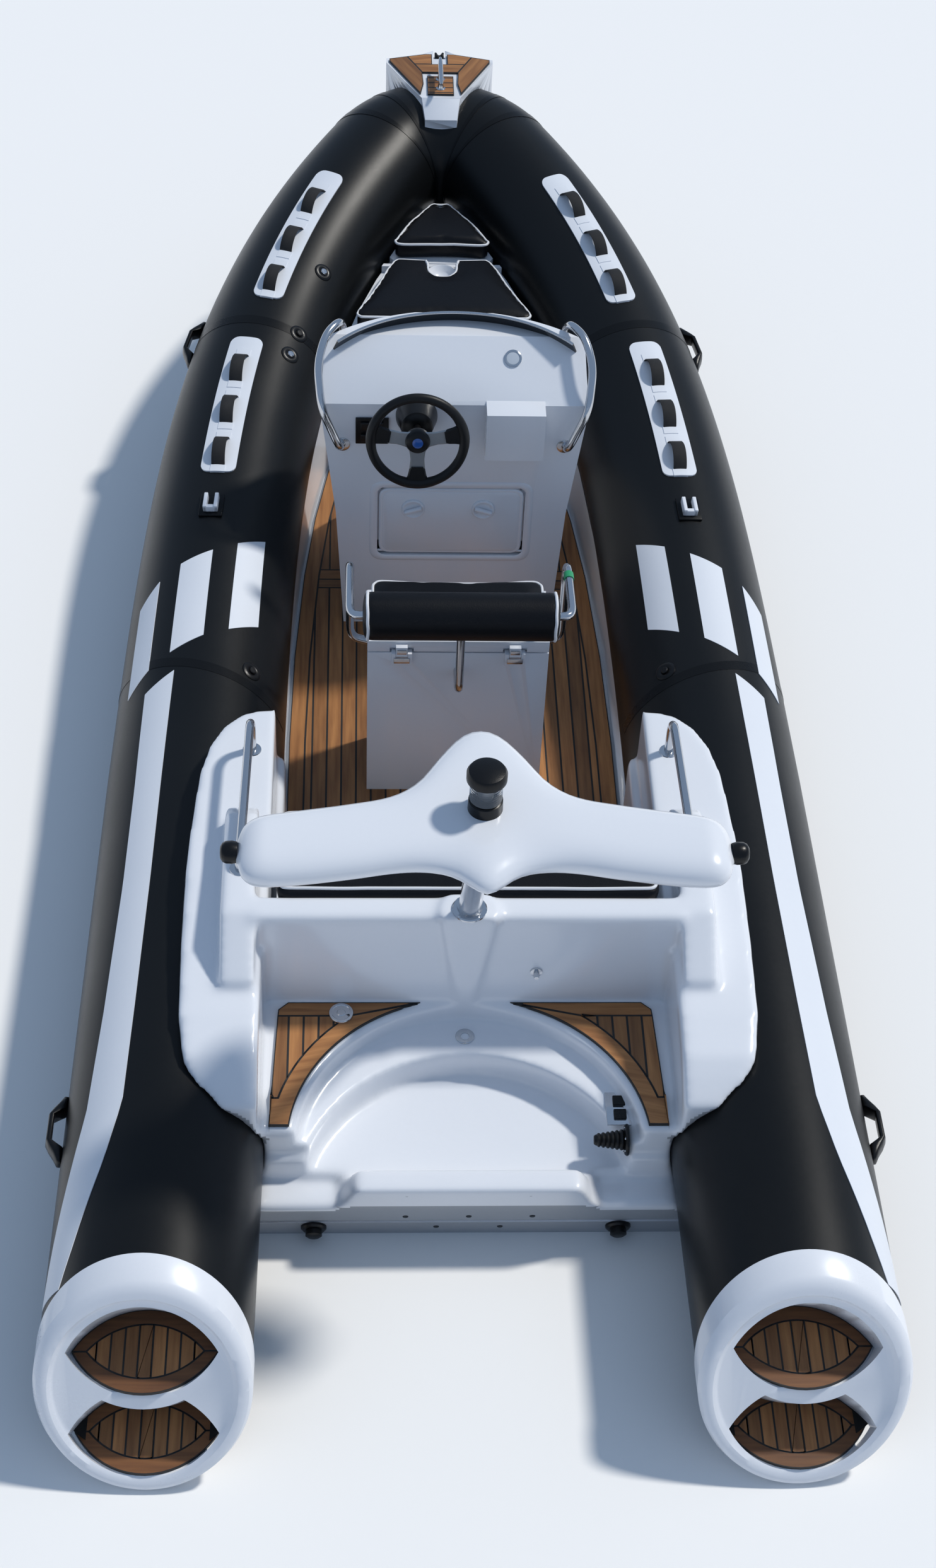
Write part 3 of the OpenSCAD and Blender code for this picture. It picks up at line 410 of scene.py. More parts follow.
GELCOAT = Finish(
    "gelcoat", "gelcoat", (0.80, 0.82, 0.86), (0.70, 0.73, 0.78), rough=0.22, coat=0.5, wear=0.30, patch=1.6
)
CAP_WHITE = Finish(
    "cap_white", "cap_white", (0.80, 0.82, 0.86), (0.68, 0.71, 0.77), rough=0.28, coat=0.3, wear=0.35,
    patch=2.5
)
FABRIC = Finish(
    "tube_fabric", "tube_fabric", (0.004, 0.0045, 0.005), (0.0055, 0.0062, 0.0070), rough=0.33,
    pattern=Pattern.WEAVE, scale=420.0, depth=0.08, wear=0.55, patch=2.0, specular=0.25
)
SEAM = Finish(
    "seam_tape", "tube_fabric", (0.0045, 0.0050, 0.0058), (0.009, 0.010, 0.011), rough=0.28,
    pattern=Pattern.WEAVE, scale=420.0, depth=0.08, specular=0.16
)
PATCH = Finish(
    "patch_white", "pad_white", (0.74, 0.77, 0.82), (0.66, 0.69, 0.75), rough=0.42, pattern=Pattern.WEAVE,
    scale=420.0, depth=0.10, patch=4.0
)
VINYL = Finish(
    "vinyl", "vinyl", (0.0026, 0.0030, 0.0046), (0.0055, 0.0062, 0.0085), rough=0.40,
    pattern=Pattern.LEATHER, scale=260.0, depth=0.20, wear=0.5, specular=0.2
)
PIPING = Finish(
    "piping", "vinyl", (0.76, 0.77, 0.79), (0.62, 0.63, 0.66), rough=0.45, pattern=Pattern.LEATHER,
    scale=300.0, depth=0.15
)
STEEL = Finish(
    "stainless", "stainless", (0.62, 0.63, 0.65), (0.50, 0.51, 0.53), rough=0.14, metal=1.0,
    pattern=Pattern.BRUSHED, scale=160.0, depth=0.04, wear=0.4
)
PLASTIC = Finish(
    "black_plastic", "black_plastic", (0.0035, 0.0035, 0.004), (0.008, 0.008, 0.009), rough=0.30,
    specular=0.3, pattern=Pattern.LEATHER, scale=420.0, depth=0.12
)
RUBBER = Finish(
    "soft_rubber", "soft_rubber", (0.0045, 0.0045, 0.005), (0.010, 0.010, 0.011), rough=0.40, specular=0.3,
    pattern=Pattern.LEATHER, scale=500.0, depth=0.12
)
WEBBING = Finish(
    "webbing", "webbing", (0.010, 0.010, 0.011), (0.024, 0.024, 0.026), rough=0.75, pattern=Pattern.RIBS,
    scale=260.0, depth=0.5
)
SILVER = Finish("silver_paint", "stainless", (0.42, 0.43, 0.44), (0.34, 0.35, 0.36), rough=0.32, metal=0.7)
BLUE = Finish("blue_cap", "black_plastic", (0.02, 0.09, 0.34), (0.03, 0.12, 0.40), rough=0.2, coat=0.6)
GREEN = Finish("green_band", "black_plastic", (0.02, 0.30, 0.12), (0.03, 0.36, 0.16), rough=0.4)
SMOKED = Finish(
    "smoked_screen", "smoked_screen", (0.008, 0.0085, 0.010), (0.013, 0.014, 0.016), rough=0.12,
    specular=0.4
)
LENS = Finish("clear_lens", "smoked_screen", (0.90, 0.91, 0.92), (0.84, 0.85, 0.87), rough=0.08, clear=0.85)
DIAL = Finish("dial", "black_plastic", (0.55, 0.60, 0.66), (0.46, 0.50, 0.56), rough=0.15, coat=0.8)
CAULK = Finish("caulk", "soft_rubber", (0.008, 0.008, 0.008), (0.02, 0.02, 0.02), rough=0.6)
# Painted shade: a grey that stands for the shade on the white gelcoat transom face.
TRANSOM_SHADE = Finish("transom_grey", "gelcoat", (0.34, 0.36, 0.39), (0.28, 0.30, 0.33), rough=0.4)
WOOD = Teak("teak", "teak", (0.42, 0.19, 0.062), (0.24, 0.095, 0.028), rough=0.5)
DARK_WOOD = Teak("teak_border", "teak", (0.25, 0.100, 0.030), (0.14, 0.052, 0.016), rough=0.5)


class Shop:
    """Hand modelling steps that the sub-assemblies share."""

    @staticmethod
    def only(obj: bpy.types.Object) -> bpy.types.Object:
        """Select one object alone and make it active.

        Args:
            obj: The object.

        Returns:
            The same object.
        """
        if bpy.context.mode != "OBJECT":
            bpy.ops.object.mode_set(mode="OBJECT")
        bpy.ops.object.select_all(action="DESELECT")
        obj.select_set(True)
        bpy.context.view_layer.objects.active = obj
        return obj

    @staticmethod
    def new(name: str, points: Iterable[Point], faces: Iterable[Sequence[int]]) -> bpy.types.Object:
        """A mesh object from points and faces.

        Args:
            name: The object's name.
            points: Its points.
            faces: Point numbers of its faces.

        Returns:
            The object.
        """
        mesh = bpy.data.meshes.new(name)
        mesh.from_pydata([tuple(p) for p in points], [], [tuple(f) for f in faces])
        mesh.validate()
        obj = bpy.data.objects.new(name, mesh)
        bpy.context.scene.collection.objects.link(obj)
        return obj

    @classmethod
    def settle(cls, obj: bpy.types.Object, angle: float = 40.0) -> bpy.types.Object:
        """Put an object's place into its mesh, merge doubles, turn normals out and shade it.

        Args:
            obj: The object.
            angle: Edges sharper than this, in degrees, stay sharp.

        Returns:
            The same object.
        """
        cls.only(obj)
        bpy.ops.object.transform_apply(location=True, rotation=True, scale=True)
        bpy.ops.object.mode_set(mode="EDIT")
        bpy.ops.mesh.select_all(action="SELECT")
        bpy.ops.mesh.remove_doubles(threshold=0.00005)
        bpy.ops.mesh.normals_make_consistent(inside=False)
        bpy.ops.object.mode_set(mode="OBJECT")
        bpy.ops.object.shade_smooth_by_angle(angle=math.radians(angle))
        return obj

    @classmethod
    def apply(cls, obj: bpy.types.Object) -> bpy.types.Object:
        """Apply all modifiers in order.

        Args:
            obj: The object.

        Returns:
            The same object.
        """
        cls.only(obj)
        for modifier in list(obj.modifiers):
            bpy.ops.object.modifier_apply(modifier=modifier.name)
        return obj

    @classmethod
    def soften(
        cls, obj: bpy.types.Object, width: float, segments: int = 3, limit: float = 30.0
    ) -> bpy.types.Object:
        """Round an object's sharp edges.

        Args:
            obj: The object.
            width: Width of the rounding.
            segments: Its steps.
            limit: Edges sharper than this, in degrees, are rounded.

        Returns:
            The same object.
        """
        bevel = obj.modifiers.new("bevel", "BEVEL")
        bevel.width, bevel.segments, bevel.limit_method = width, segments, "ANGLE"
        bevel.angle_limit, bevel.use_clamp_overlap, bevel.miter_outer = math.radians(limit), True, "MITER_ARC"
        return cls.apply(obj)

    @classmethod
    def block(
        cls, name: str, size: Point, place: Point, turn: Point = (0, 0, 0), round_by: float = 0.003
    ) -> bpy.types.Object:
        """A block with rounded edges.

        Args:
            name: The object's name.
            size: Its whole sizes.
            place: Its middle.
            turn: Its turns about x, y and z, radians.
            round_by: Width of the edges' rounding.

        Returns:
            The object.
        """
        bpy.ops.object.select_all(action="DESELECT")
        bpy.ops.mesh.primitive_cube_add(
            size=1.0, location=tuple(place), rotation=tuple(turn), scale=tuple(size)
        )
        obj = bpy.context.object
        obj.name = name
        bpy.ops.object.transform_apply(location=False, rotation=False, scale=True)
        bpy.ops.object.mode_set(mode="EDIT")
        bpy.ops.mesh.select_all(action="SELECT")
        bpy.ops.mesh.bevel(offset=round_by, segments=3, affect="EDGES")
        bpy.ops.object.mode_set(mode="OBJECT")
        return cls.settle(obj, 35.0)

    @classmethod
    def turned(
        cls, name: str, profile: Sequence[tuple[float, float]], place: Point, axis: Point, steps: int = 40
    ) -> bpy.types.Object:
        """A turned piece: a profile spun round an axis.

        Args:
            name: The object's name.
            profile: Radius and height of the profile's points.
            place: Where height 0 is.
            axis: Direction of height.
            steps: Steps of the spin.

        Returns:
            The object.
        """
        obj = cls.new(name, [(r, 0.0, h) for r, h in profile], [])
        obj.data.edges.add(len(profile) - 1)
        for index, edge in enumerate(obj.data.edges):
            edge.vertices = (index, index + 1)
        cls.only(obj)
        bpy.ops.object.mode_set(mode="EDIT")
        bpy.ops.mesh.select_all(action="SELECT")
        bpy.ops.mesh.spin(steps=steps, angle=math.tau, center=(0, 0, 0), axis=(0, 0, 1), use_auto_merge=True)
        bpy.ops.object.mode_set(mode="OBJECT")
        turn = Vector(UP).rotation_difference(Vector(axis).normalized())
        obj.matrix_world = Matrix.Translation(Vector(place)) @ turn.to_matrix().to_4x4()
        return cls.settle(obj, 35.0)

    @classmethod
    def pipe(
        cls, name: str, points: Sequence[Point], radius: float, closed: bool = False, handles: str = "AUTO",
        steps: int = 10
    ) -> bpy.types.Object:
        """A round bar along a smooth line.

        Args:
            name: The object's name.
            points: Points on its middle line.
            radius: Its radius.
            closed: Whether the line is a ring.
            handles: The curve's handle type.
            steps: Steps between two points.

        Returns:
            The object, as a mesh.
        """
        curve = bpy.data.curves.new(name, "CURVE")
        curve.dimensions, curve.bevel_depth, curve.bevel_resolution = "3D", radius, 4
        curve.resolution_u, curve.use_fill_caps = steps, True
        spline = curve.splines.new("BEZIER")
        spline.bezier_points.add(len(points) - 1)
        for knot, point in zip(spline.bezier_points, points):
            knot.co = tuple(point)
            knot.handle_left_type = knot.handle_right_type = handles
        spline.use_cyclic_u = closed
        obj = bpy.data.objects.new(name, curve)
        bpy.context.scene.collection.objects.link(obj)
        cls.only(obj)
        bpy.ops.object.convert(target="MESH")
        return cls.settle(bpy.context.object, 50.0)

    @staticmethod
    def rounded(points: Sequence[Point], radius: float, steps: int = 5, closed: bool = False) -> list[Vector]:
        """A line with its corners turned into arcs.

        Args:
            points: The corners.
            radius: Length cut from each side of a corner.
            steps: Points of an arc.
            closed: Whether the line is a ring.

        Returns:
            The new points.
        """
        corners = [Vector(p) for p in points]
        count, out = len(corners), []
        for i, here in enumerate(corners):
            if not closed and i in (0, count - 1):
                out.append(here)
                continue
            back, ahead = corners[i - 1] - here, corners[(i + 1) % count] - here
            a = here + back.normalized() * min(radius, back.length * 0.45)
            b = here + ahead.normalized() * min(radius, ahead.length * 0.45)
            for k in range(steps + 1):
                t = k / steps
                out.append(a * (1 - t) ** 2 + here * 2 * t * (1 - t) + b * t * t)
        return out

    @classmethod
    def swept(
        cls, name: str, points: Sequence[Point], radius: float, bend: float, closed: bool = False
    ) -> bpy.types.Object:
        """A bent rail: straight runs joined by arcs."""
        return cls.pipe(name, cls.rounded(points, bend, 6, closed), radius, closed, "VECTOR", 1)

    @classmethod
    def loft(
        cls, name: str, rings: Sequence[Sequence[Point]], caps: bool = True, around: bool = True,
        angle: float = 40.0
    ) -> bpy.types.Object:
        """A skin over rings of equal count.

        Args:
            name: The object's name.
            rings: The rings.
            caps: Whether its ends are closed.
            around: Whether each ring is closed.
            angle: Edges sharper than this, in degrees, stay sharp.

        Returns:
            The object.
        """
        n = len(rings[0])
        faces = [
            (i * n + j, i * n + (j + 1) % n, (i + 1) * n + (j + 1) % n, (i + 1) * n + j)
            for i in range(len(rings) - 1)
            for j in range(n if around else n - 1)
        ]
        if caps:
            faces += [tuple(range(n - 1, -1, -1)), tuple((len(rings) - 1) * n + j for j in range(n))]
        return cls.settle(cls.new(name, [p for ring in rings for p in ring], faces), angle)

    @classmethod
    def copy(cls, node: str, name: str) -> bpy.types.Object:
        """A merged copy of a CAD node that stands in for it.

        Args:
            node: The node's name.
            name: The copy's name.

        Returns:
            The copy.
        """
        source = bpy.data.objects[node]
        obj = bpy.data.objects.new(name, source.data.copy())
        bpy.context.scene.collection.objects.link(obj)
        cls.settle(obj, 30.0)
        bpy.ops.object.mode_set(mode="EDIT")
        bpy.ops.mesh.select_all(action="SELECT")
        bpy.ops.mesh.dissolve_limited(angle_limit=math.radians(1.0))
        bpy.ops.object.mode_set(mode="OBJECT")
        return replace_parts(obj, node)

    @classmethod
    def moulded(cls, node: str, name: str, voxel: float, rounds: int) -> bpy.types.Object:
        """A softly rounded copy of a CAD node, as a moulding leaves its tool.

        Args:
            node: The node's name.
            name: The copy's name.
            voxel: Size of the remeshing grid.
            rounds: Passes of smoothing.

        Returns:
            The copy.
        """
        source = bpy.data.objects[node]
        obj = bpy.data.objects.new(name, source.data.copy())
        bpy.context.scene.collection.objects.link(obj)
        cls.settle(obj)
        remesh = obj.modifiers.new("remesh", "REMESH")
        remesh.mode, remesh.voxel_size = "VOXEL", voxel
        smooth = obj.modifiers.new("smooth", "SMOOTH")
        smooth.factor, smooth.iterations = 0.5, rounds
        cls.apply(obj)
        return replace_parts(cls.settle(obj, 60.0), node)


@dataclass(frozen=True)
class Boards:
    """Laid teak boards with a mitred border and caulked seams.

    Attributes:
        pitch: Width of a plank with its seam.
        border: Width of the border boards.
        seam: Width of a seam.
        thick: Thickness of the boards.
        dark: Whether the border boards are of darker wood.
    """

    pitch: float = 0.05
    border: float = 0.05
    seam: float = 0.005
    thick: float = 0.008
    dark: bool = False

    def lay(
        self, name: str, outline: Sequence[tuple[float, float]], top: float,
        bands: Sequence[tuple[float, float]] = (), across: bool = False
    ) -> bpy.types.Object:
        """Lay boards over an outline.

        Args:
            name: The object's name.
            outline: The corners in plan.
            top: Height of the boards' top.
            bands: Fore and aft limits of boards that cross the planks.
            across: Whether the planks run from side to side.

        Returns:
            The object.
        """
        shape = self._sheet([outline], top)
        inner = list(shape.faces)
        if self.border:
            rim = bmesh.ops.inset_region(
                shape, faces=inner, thickness=self.border, use_even_offset=True, use_boundary=True
            )["faces"]
            self._join(shape, rim)
            inner = [f for f in shape.faces if all(len(e.link_faces) == 2 for e in f.edges)]
        low, high = min(c[across] for c in outline), max(c[across] for c in outline)
        inner = self._cut(shape, inner, (low, high), across, bands)
        return self._finish(name, shape, inner)

    def fit(
        self, name: str, planked: Sequence[tuple[float, float]],
        single: Sequence[Sequence[tuple[float, float]]], top: float, across: bool = False
    ) -> bpy.types.Object:
        """Fit boards of set outlines round a planked field.

        Args:
            name: The object's name.
            planked: The field's corners in plan.
            single: Corners of every single board.
            top: Height of the boards' top.
            across: Whether the planks run from side to side.

        Returns:
            The object.
        """
        shape = self._sheet([planked, *single], top)
        shape.faces.ensure_lookup_table()
        low, high = min(c[across] for c in planked), max(c[across] for c in planked)
        inner = self._cut(shape, [shape.faces[0]], (low, high), across, ())
        return self._finish(name, shape, inner)

    @staticmethod
    def _sheet(outlines: Sequence[Sequence[tuple[float, float]]], top: float) -> bmesh.types.BMesh:
        """Flat faces that look up.

        Args:
            outlines: Corners of every face in plan.
            top: Their height.

        Returns:
            The mesh.
        """
        shape = bmesh.new()
        shape.faces.layers.float.new("tone")
        shape.loops.layers.uv.new("board")
        for outline in outlines:
            turn = sum(p[0] * q[1] - q[0] * p[1] for p, q in zip(outline, [*outline[1:], outline[0]]))
            corners = outline if turn > 0 else list(reversed(outline))
            shape.faces.new([shape.verts.new((x, y, top)) for x, y in corners])
        shape.normal_update()
        return shape

    def _cut(
        self, shape: bmesh.types.BMesh, inner: list[bmesh.types.BMFace], span: tuple[float, float],
        across: bool, bands: Sequence[tuple[float, float]]
    ) -> list[bmesh.types.BMFace]:
        """Cut faces into planks.

        Args:
            shape: The mesh.
            inner: The faces to cut.
            span: The field's limits square to the planks.
            across: Whether the planks run from side to side.
            bands: Fore and aft limits of boards that cross the planks.

        Returns:
            The planks.
        """
        middle = (span[0] + span[1]) / 2
        count = int((span[1] - span[0]) / self.pitch / 2) + 1
        cuts = [(1, y) for band in bands for y in band]
        cuts += [(int(across), middle + self.pitch * (k + 0.5)) for k in range(-count - 1, count + 1)]
        for axis, at in cuts:
            normal = Vector((1, 0, 0)) if axis == 0 else Vector((0, 1, 0))
            part = [
                f
                for f in inner
                if axis == 1 or not any(a <= f.calc_center_median().y <= b for a, b in bands)
            ]
            rest = [f for f in inner if f not in part]
            geometry = part + list({e for f in part for e in f.edges}) + list({
                v for f in part for v in f.verts
            })
            cut = bmesh.ops.bisect_plane(
                shape, geom=geometry, dist=1e-6, plane_co=normal * at, plane_no=normal
            )
            inner = rest + [g for g in cut["geom"] if isinstance(g, bmesh.types.BMFace)]
        return inner

    def _finish(
        self, name: str, shape: bmesh.types.BMesh, planks: Sequence[bmesh.types.BMFace]
    ) -> bpy.types.Object:
        """Caulk the seams, tone the boards and give them thickness.

        Args:
            name: The object's name.
            shape: The flat boards.
            planks: Those of the planked field.

        Returns:
            The object.
        """
        dice = random.Random(name)
        for face in shape.faces:
            face.material_index = 1
        for face in planks:
            face.material_index = 0
        for seam in bmesh.ops.inset_individual(
            shape, faces=list(shape.faces), thickness=self.seam / 2, use_even_offset=True
        )["faces"]:
            seam.material_index = 2
        tone, flat = shape.faces.layers.float["tone"], shape.loops.layers.uv["board"]
        for face in shape.faces:
            face[tone] = dice.random()
            longest = max(face.edges, key=lambda e: e.calc_length())
            run = (longest.verts[1].co - longest.verts[0].co).normalized()
            cross = Vector((-run.y, run.x, 0))
            for loop in face.loops:
                loop[flat].uv = (loop.vert.co.dot(cross), loop.vert.co.dot(run))
        mesh = bpy.data.meshes.new(name)
        shape.to_mesh(mesh)
        shape.free()
        obj = bpy.data.objects.new(name, mesh)
        bpy.context.scene.collection.objects.link(obj)
        for finish in (WOOD, DARK_WOOD if self.dark else WOOD, CAULK):
            mesh.materials.append(finish.material())
        thick = obj.modifiers.new("thick", "SOLIDIFY")
        thick.thickness, thick.offset = self.thick, -1.0
        Shop.settle(Shop.apply(obj), 20.0)
        return obj

    @staticmethod
    def _join(shape: bmesh.types.BMesh, rim: Sequence[bmesh.types.BMFace]) -> None:
        """Join the border's boards along curves, so that seams stay at corners only.

        Args:
            shape: The mesh being cut.
            rim: The border's faces.
        """
        spokes = []
        for edge in {e for f in rim for e in f.edges}:
            if len([f for f in edge.link_faces if f in rim]) != 2:
                continue
            outer = [v for v in edge.verts if any(e.is_boundary for e in v.link_edges)]
            if not outer:
                continue
            lines = [e.other_vert(outer[0]).co - outer[0].co for e in outer[0].link_edges if e.is_boundary]
            if len(lines) == 2 and math.degrees(lines[0].angle(-lines[1])) < 22:
                spokes.append(edge)
        bmesh.ops.dissolve_edges(shape, edges=spokes, use_verts=False)


@dataclass(frozen=True)
class TubePath:
    """Middle line and skin of the starboard tube; the port tube is its mirror image."""

    x: float = 0.796
    z: float = 0.270
    r: float = 0.260
    toe: float = math.tan(math.radians(0.8))
    bend: float = 1.4
    bow: float = 4.28
    bow_r: float = 0.230
    sheer: float = 0.359
    power: float = 1.6
    second: float = 0.01508
    tuck: float = 0.0208
    joint: float = -0.364
    lean: float = math.radians(26.2)

    def fourth(self) -> float:
        """Fourth order term of the curve in plan."""
        run = self.bow - self.bend
        return (self.x - self.toe * self.bow - self.second * run**2 - self.bow_r + self.tuck) / run**4

    def middle(self, y: float) -> Vector:
        """A point on the tube's middle line."""
        s = max(0.0, y - self.bend)
        return Vector((
            self.x - self.toe * y - self.second * s**2 - self.fourth() * s**4, y,
            self.z + self.sheer * (s / (self.bow - self.bend)) ** self.power
        ))

    def frame(self, y: float) -> tuple[Vector, Vector, Vector]:
        """Directions along, outboard of and over the tube.

        Args:
            y: Distance from the transom.

        Returns:
            The three directions.
        """
        along = (self.middle(y + 0.0005) - self.middle(y - 0.0005)).normalized()
        out = along.cross(Vector((0, 0, 1))).normalized()
        return along, out, out.cross(along)

    def radius(self, y: float) -> float:
        """The tube's radius."""
        return self.r - (self.r - self.bow_r) * max(0.0, y - self.bend) / (self.bow - self.bend)

    def skin(self, y: float, angle: float, lift: float = 0.0, side: Side = Side.STARBOARD) -> Vector:
        """A point on the tube's skin.

        Args:
            y: Distance from the transom.
            angle: Degrees from outboard, over the top.
            lift: Height over the skin.
            side: The tube.

        Returns:
            The point.
        """
        _, out, up = self.frame(y)
        a = math.radians(angle)
        p = self.middle(y) + (self.radius(y) + lift) * (math.cos(a) * out + math.sin(a) * up)
        return Vector((p.x * side.value, p.y, p.z))

    def joint_y(self, z: float, back: float = 0.0) -> float:
        """Where the leaning joint of the end cap lies."""
        return self.joint - back + (z - self.z - self.r) * math.tan(self.lean)

    def bow_ring(self, turn: float, angle: float, lift: float = 0.0) -> Vector:
        """A point on the bow section's skin.

        Args:
            turn: Radians round the bow, from starboard.
            angle: Degrees from outboard, over the top.
            lift: Height over the skin.

        Returns:
            The point.
        """
        along, _, _ = self.frame(self.bow)
        slope = math.atan2(along.z, along.y)
        first = math.asin(-along.x)
        end = self.middle(self.bow)
        bend = end.x / math.cos(first)
        centre = Vector((
            0, end.y - bend * math.sin(first) * math.cos(slope),
            end.z - bend * math.sin(first) * math.sin(slope)
        ))
        a = math.radians(angle)
        reach = self.bow_r + lift
        heading = Vector((math.cos(turn), math.sin(turn), 0))
        flat = (bend + reach * math.cos(a)) * heading + Vector((0, 0, reach * math.sin(a)))
        return centre + Matrix.Rotation(slope, 3, "X") @ flat

    def bow_turn(self) -> float:
        """Turn at which the bow section starts."""
        return math.asin(-self.frame(self.bow)[0].x)


@dataclass
class Tubes:
    """The inflated collar and the flat trim glued on it."""

    path: TubePath
    sides: int = 96
    blocks: Sequence[Sequence[tuple[float, float]]] = (
        ((2.242, 109), (2.297, 130), (1.923, 130.5), (1.865, 108.5)),
        ((2.142, 70), (2.196, 92), (1.825, 92), (1.761, 70)),
        ((2.018, 36), (2.094, 54), (1.715, 54.5), (1.641, 36)),
    )
    stripe: Sequence[tuple[float, float, float]] = (
        (1.646, 54, 74.5), (1.23, 54.6, 73.5), (0.85, 54, 73), (0.41, 50, 71.5), (0.10, 45, 70),
        (-0.07, 35, 62), (-0.30, 20, 46), (-0.40, 14, 38),
    )

    def build(self) -> None:
        """Build and dress the collar."""
        self.collar()
        for side in Side:
            for index, corners in enumerate(self.blocks):
                self.patch(f"flash_{side.word}_{index}", self.grid(corners), side)
            self.patch(f"stripe_{side.word}", self.band(), side)
            self.strake(side)
        self.seams()
        self.valves()
        self.forks()

    def collar(self) -> None:
        """The tube's skin from end to end, over the bow."""
        angles = [360 * j / self.sides for j in range(self.sides)]
        p = self.path
        ys = [0.0, 0.2, 0.5, 0.8, 1.1] + [p.bend + (p.bow - p.bend) * i / 64 for i in range(65)]
        half = [[p.skin(p.joint_y(p.z + p.r * math.sin(math.radians(a))) + 0.001, a) for a in angles]]
        half += [[p.skin(y, a) for a in angles] for y in ys]
        first = p.bow_turn()
        turns = [first + (math.pi - 2 * first) * i / 40 for i in range(1, 40)]
        rings = half + [[p.bow_ring(t, a) for a in angles] for t in turns]
        rings += [[Vector((-q.x, q.y, q.z)) for q in ring] for ring in reversed(half)]
        obj = Shop.loft("collar", rings, caps=False, angle=80.0)
        FABRIC.paint(obj)
        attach(obj, "boat")
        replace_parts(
            obj, "tube_port_aft", "tube_starboard_aft", "tube_port_fwd", "tube_starboard_fwd", "tube_bow"
        )

    @staticmethod
    def grid(corners: Sequence[tuple[float, float]], n: int = 10) -> list[list[tuple[float, float]]]:
        """Places on the skin between four corners.

        Args:
            corners: Forward low, forward high, aft high and aft low.
            n: Steps each way.

        Returns:
            Rows of distance and angle.
        """
        a, b, c, d = (Vector(q) for q in corners)
        rows = []
        for i in range(n + 1):
            s = i / n
            rows.append([tuple((a.lerp(d, s)).lerp(b.lerp(c, s), j / n)) for j in range(n + 1)])
        return rows

    def band(self, n: int = 40) -> list[list[tuple[float, float]]]:
        """Places on the skin along the long stripe.

        Args:
            n: Steps along it.

        Returns:
            Rows of distance and angle.
        """
        top = self.stripe[0][0]
        rows = []
        for i in range(n + 1):
            y = top + (self.stripe[-1][0] - top) * i / n
            for (y0, l0, h0), (y1, l1, h1) in zip(self.stripe, self.stripe[1:]):
                if y1 <= y <= y0:
                    t = (y0 - y) / (y0 - y1)
                    low, high = l0 + (l1 - l0) * t, h0 + (h1 - h0) * t
            slant = 0.034 * max(0.0, 1 - i / 6)
            rows.append([(y + slant * (2 * j / 8 - 1), low + (high - low) * j / 8) for j in range(9)])
        return rows

    def patch(
        self, name: str, rows: Sequence[Sequence[tuple[float, float]]], side: Side, finish: Finish = PATCH,
        lift: float = 0.0016
    ) -> bpy.types.Object:
        """A patch glued on the skin.

        Args:
            name: The object's name.
            rows: Rows of distance and angle.
            side: The tube.
            finish: Its finish.
            lift: Its height over the skin.

        Returns:
            The object.
        """
        rings = [[self.path.skin(y, a, lift, side) for y, a in row] for row in rows]
        obj = Shop.loft(name, rings, caps=False, around=False)
        self.outward(obj, side)
        thick = obj.modifiers.new("thick", "SOLIDIFY")
        thick.thickness, thick.offset = lift, -1.0
        Shop.settle(Shop.apply(obj), 30.0)
        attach(finish.paint(obj), "boat")
        return obj

    def outward(self, obj: bpy.types.Object, side: Side) -> None:
        """Turn a patch's normals away from the tube's middle line.

        Args:
            obj: The patch.
            side: The tube.
        """
        face = obj.data.polygons[len(obj.data.polygons) // 2]
        middle = self.path.middle(face.center.y)
        middle.x *= side.value
        if face.normal.dot(face.center - middle) < 0:
            obj.data.flip_normals()

    def strake(self, side: Side) -> None:
        """The thin white edge along the tube's outermost line.

        Args:
            side: The tube.
        """
        rows = []
        for i in range(61):
            y = -0.38 + (self.path.bow + 0.3) * i / 60
            rows.append([(y, a) for a in (-7, -5, -3, -1)])
        self.patch(f"strake_{side.word}", rows, side, PATCH, 0.003)

    def seams(self) -> None:
        """Tapes over the joints of the tube's panels."""
        first = self.path.bow_turn()
        p = self.path
        for side in Side:
            for index, y in enumerate((1.70, 3.26)):
                lean = 0.06 if index == 0 else 0.0
                rows = [
                    [(y + d + lean * math.cos(math.radians(a)), a) for d in (-0.018, 0.0, 0.018)]
                    for a in range(-40, 175, 5)
                ]
                self.patch(f"seam_{side.word}_{index}", rows, side, SEAM, 0.0009)
            for index, (turn, wide) in enumerate(((first + 0.04, 0.09), (first + 0.42, 0.07))):
                rings = []
                for a in range(-60, 200, 6):
                    ring = [p.bow_ring(turn + d, a, 0.0011) for d in (-wide / 2, 0.0, wide / 2)]
                    rings.append([Vector((q.x * side.value, q.y, q.z)) for q in ring])
                obj = Shop.loft(f"bow_seam_{side.word}_{index}", rings, caps=False, around=False)
                thick = obj.modifiers.new("thick", "SOLIDIFY")
                thick.thickness, thick.offset = 0.0011, 0.0
                Shop.settle(Shop.apply(obj), 30.0)
                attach(SEAM.paint(obj), "boat")

    def valves(self) -> None:
        """Inflation and relief valves on the tubes' inner faces."""
        places = [
            (Side.PORT, 3.577, 126), (Side.PORT, 3.264, 125), (Side.PORT, 3.155, 123),
            (Side.PORT, 1.726, 128), (Side.STARBOARD, 1.721, 122)
        ]
        for index, (side, y, a) in enumerate(places):
            base, tip = self.path.skin(y, a, -0.002, side), self.path.skin(y, a, 0.02, side)
            profile = [
                (0.0, 0.004), (0.012, 0.004), (0.016, 0.007), (0.026, 0.0075), (0.032, 0.004), (0.033, 0.0),
                (0.0, 0.0)
            ]
            obj = Shop.turned(f"valve_{index}", profile, base, tip - base, 28)
            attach(PLASTIC.paint(obj), "boat")
            knob = Shop.turned(
                f"valve_cap_{index}",
                [(0.0, 0.0125), (0.009, 0.012), (0.0115, 0.010), (0.0115, 0.003), (0.0, 0.003)], base,
                tip - base, 24
            )
            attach((STEEL if index in (0, 2) else RUBBER).paint(knob), "boat")

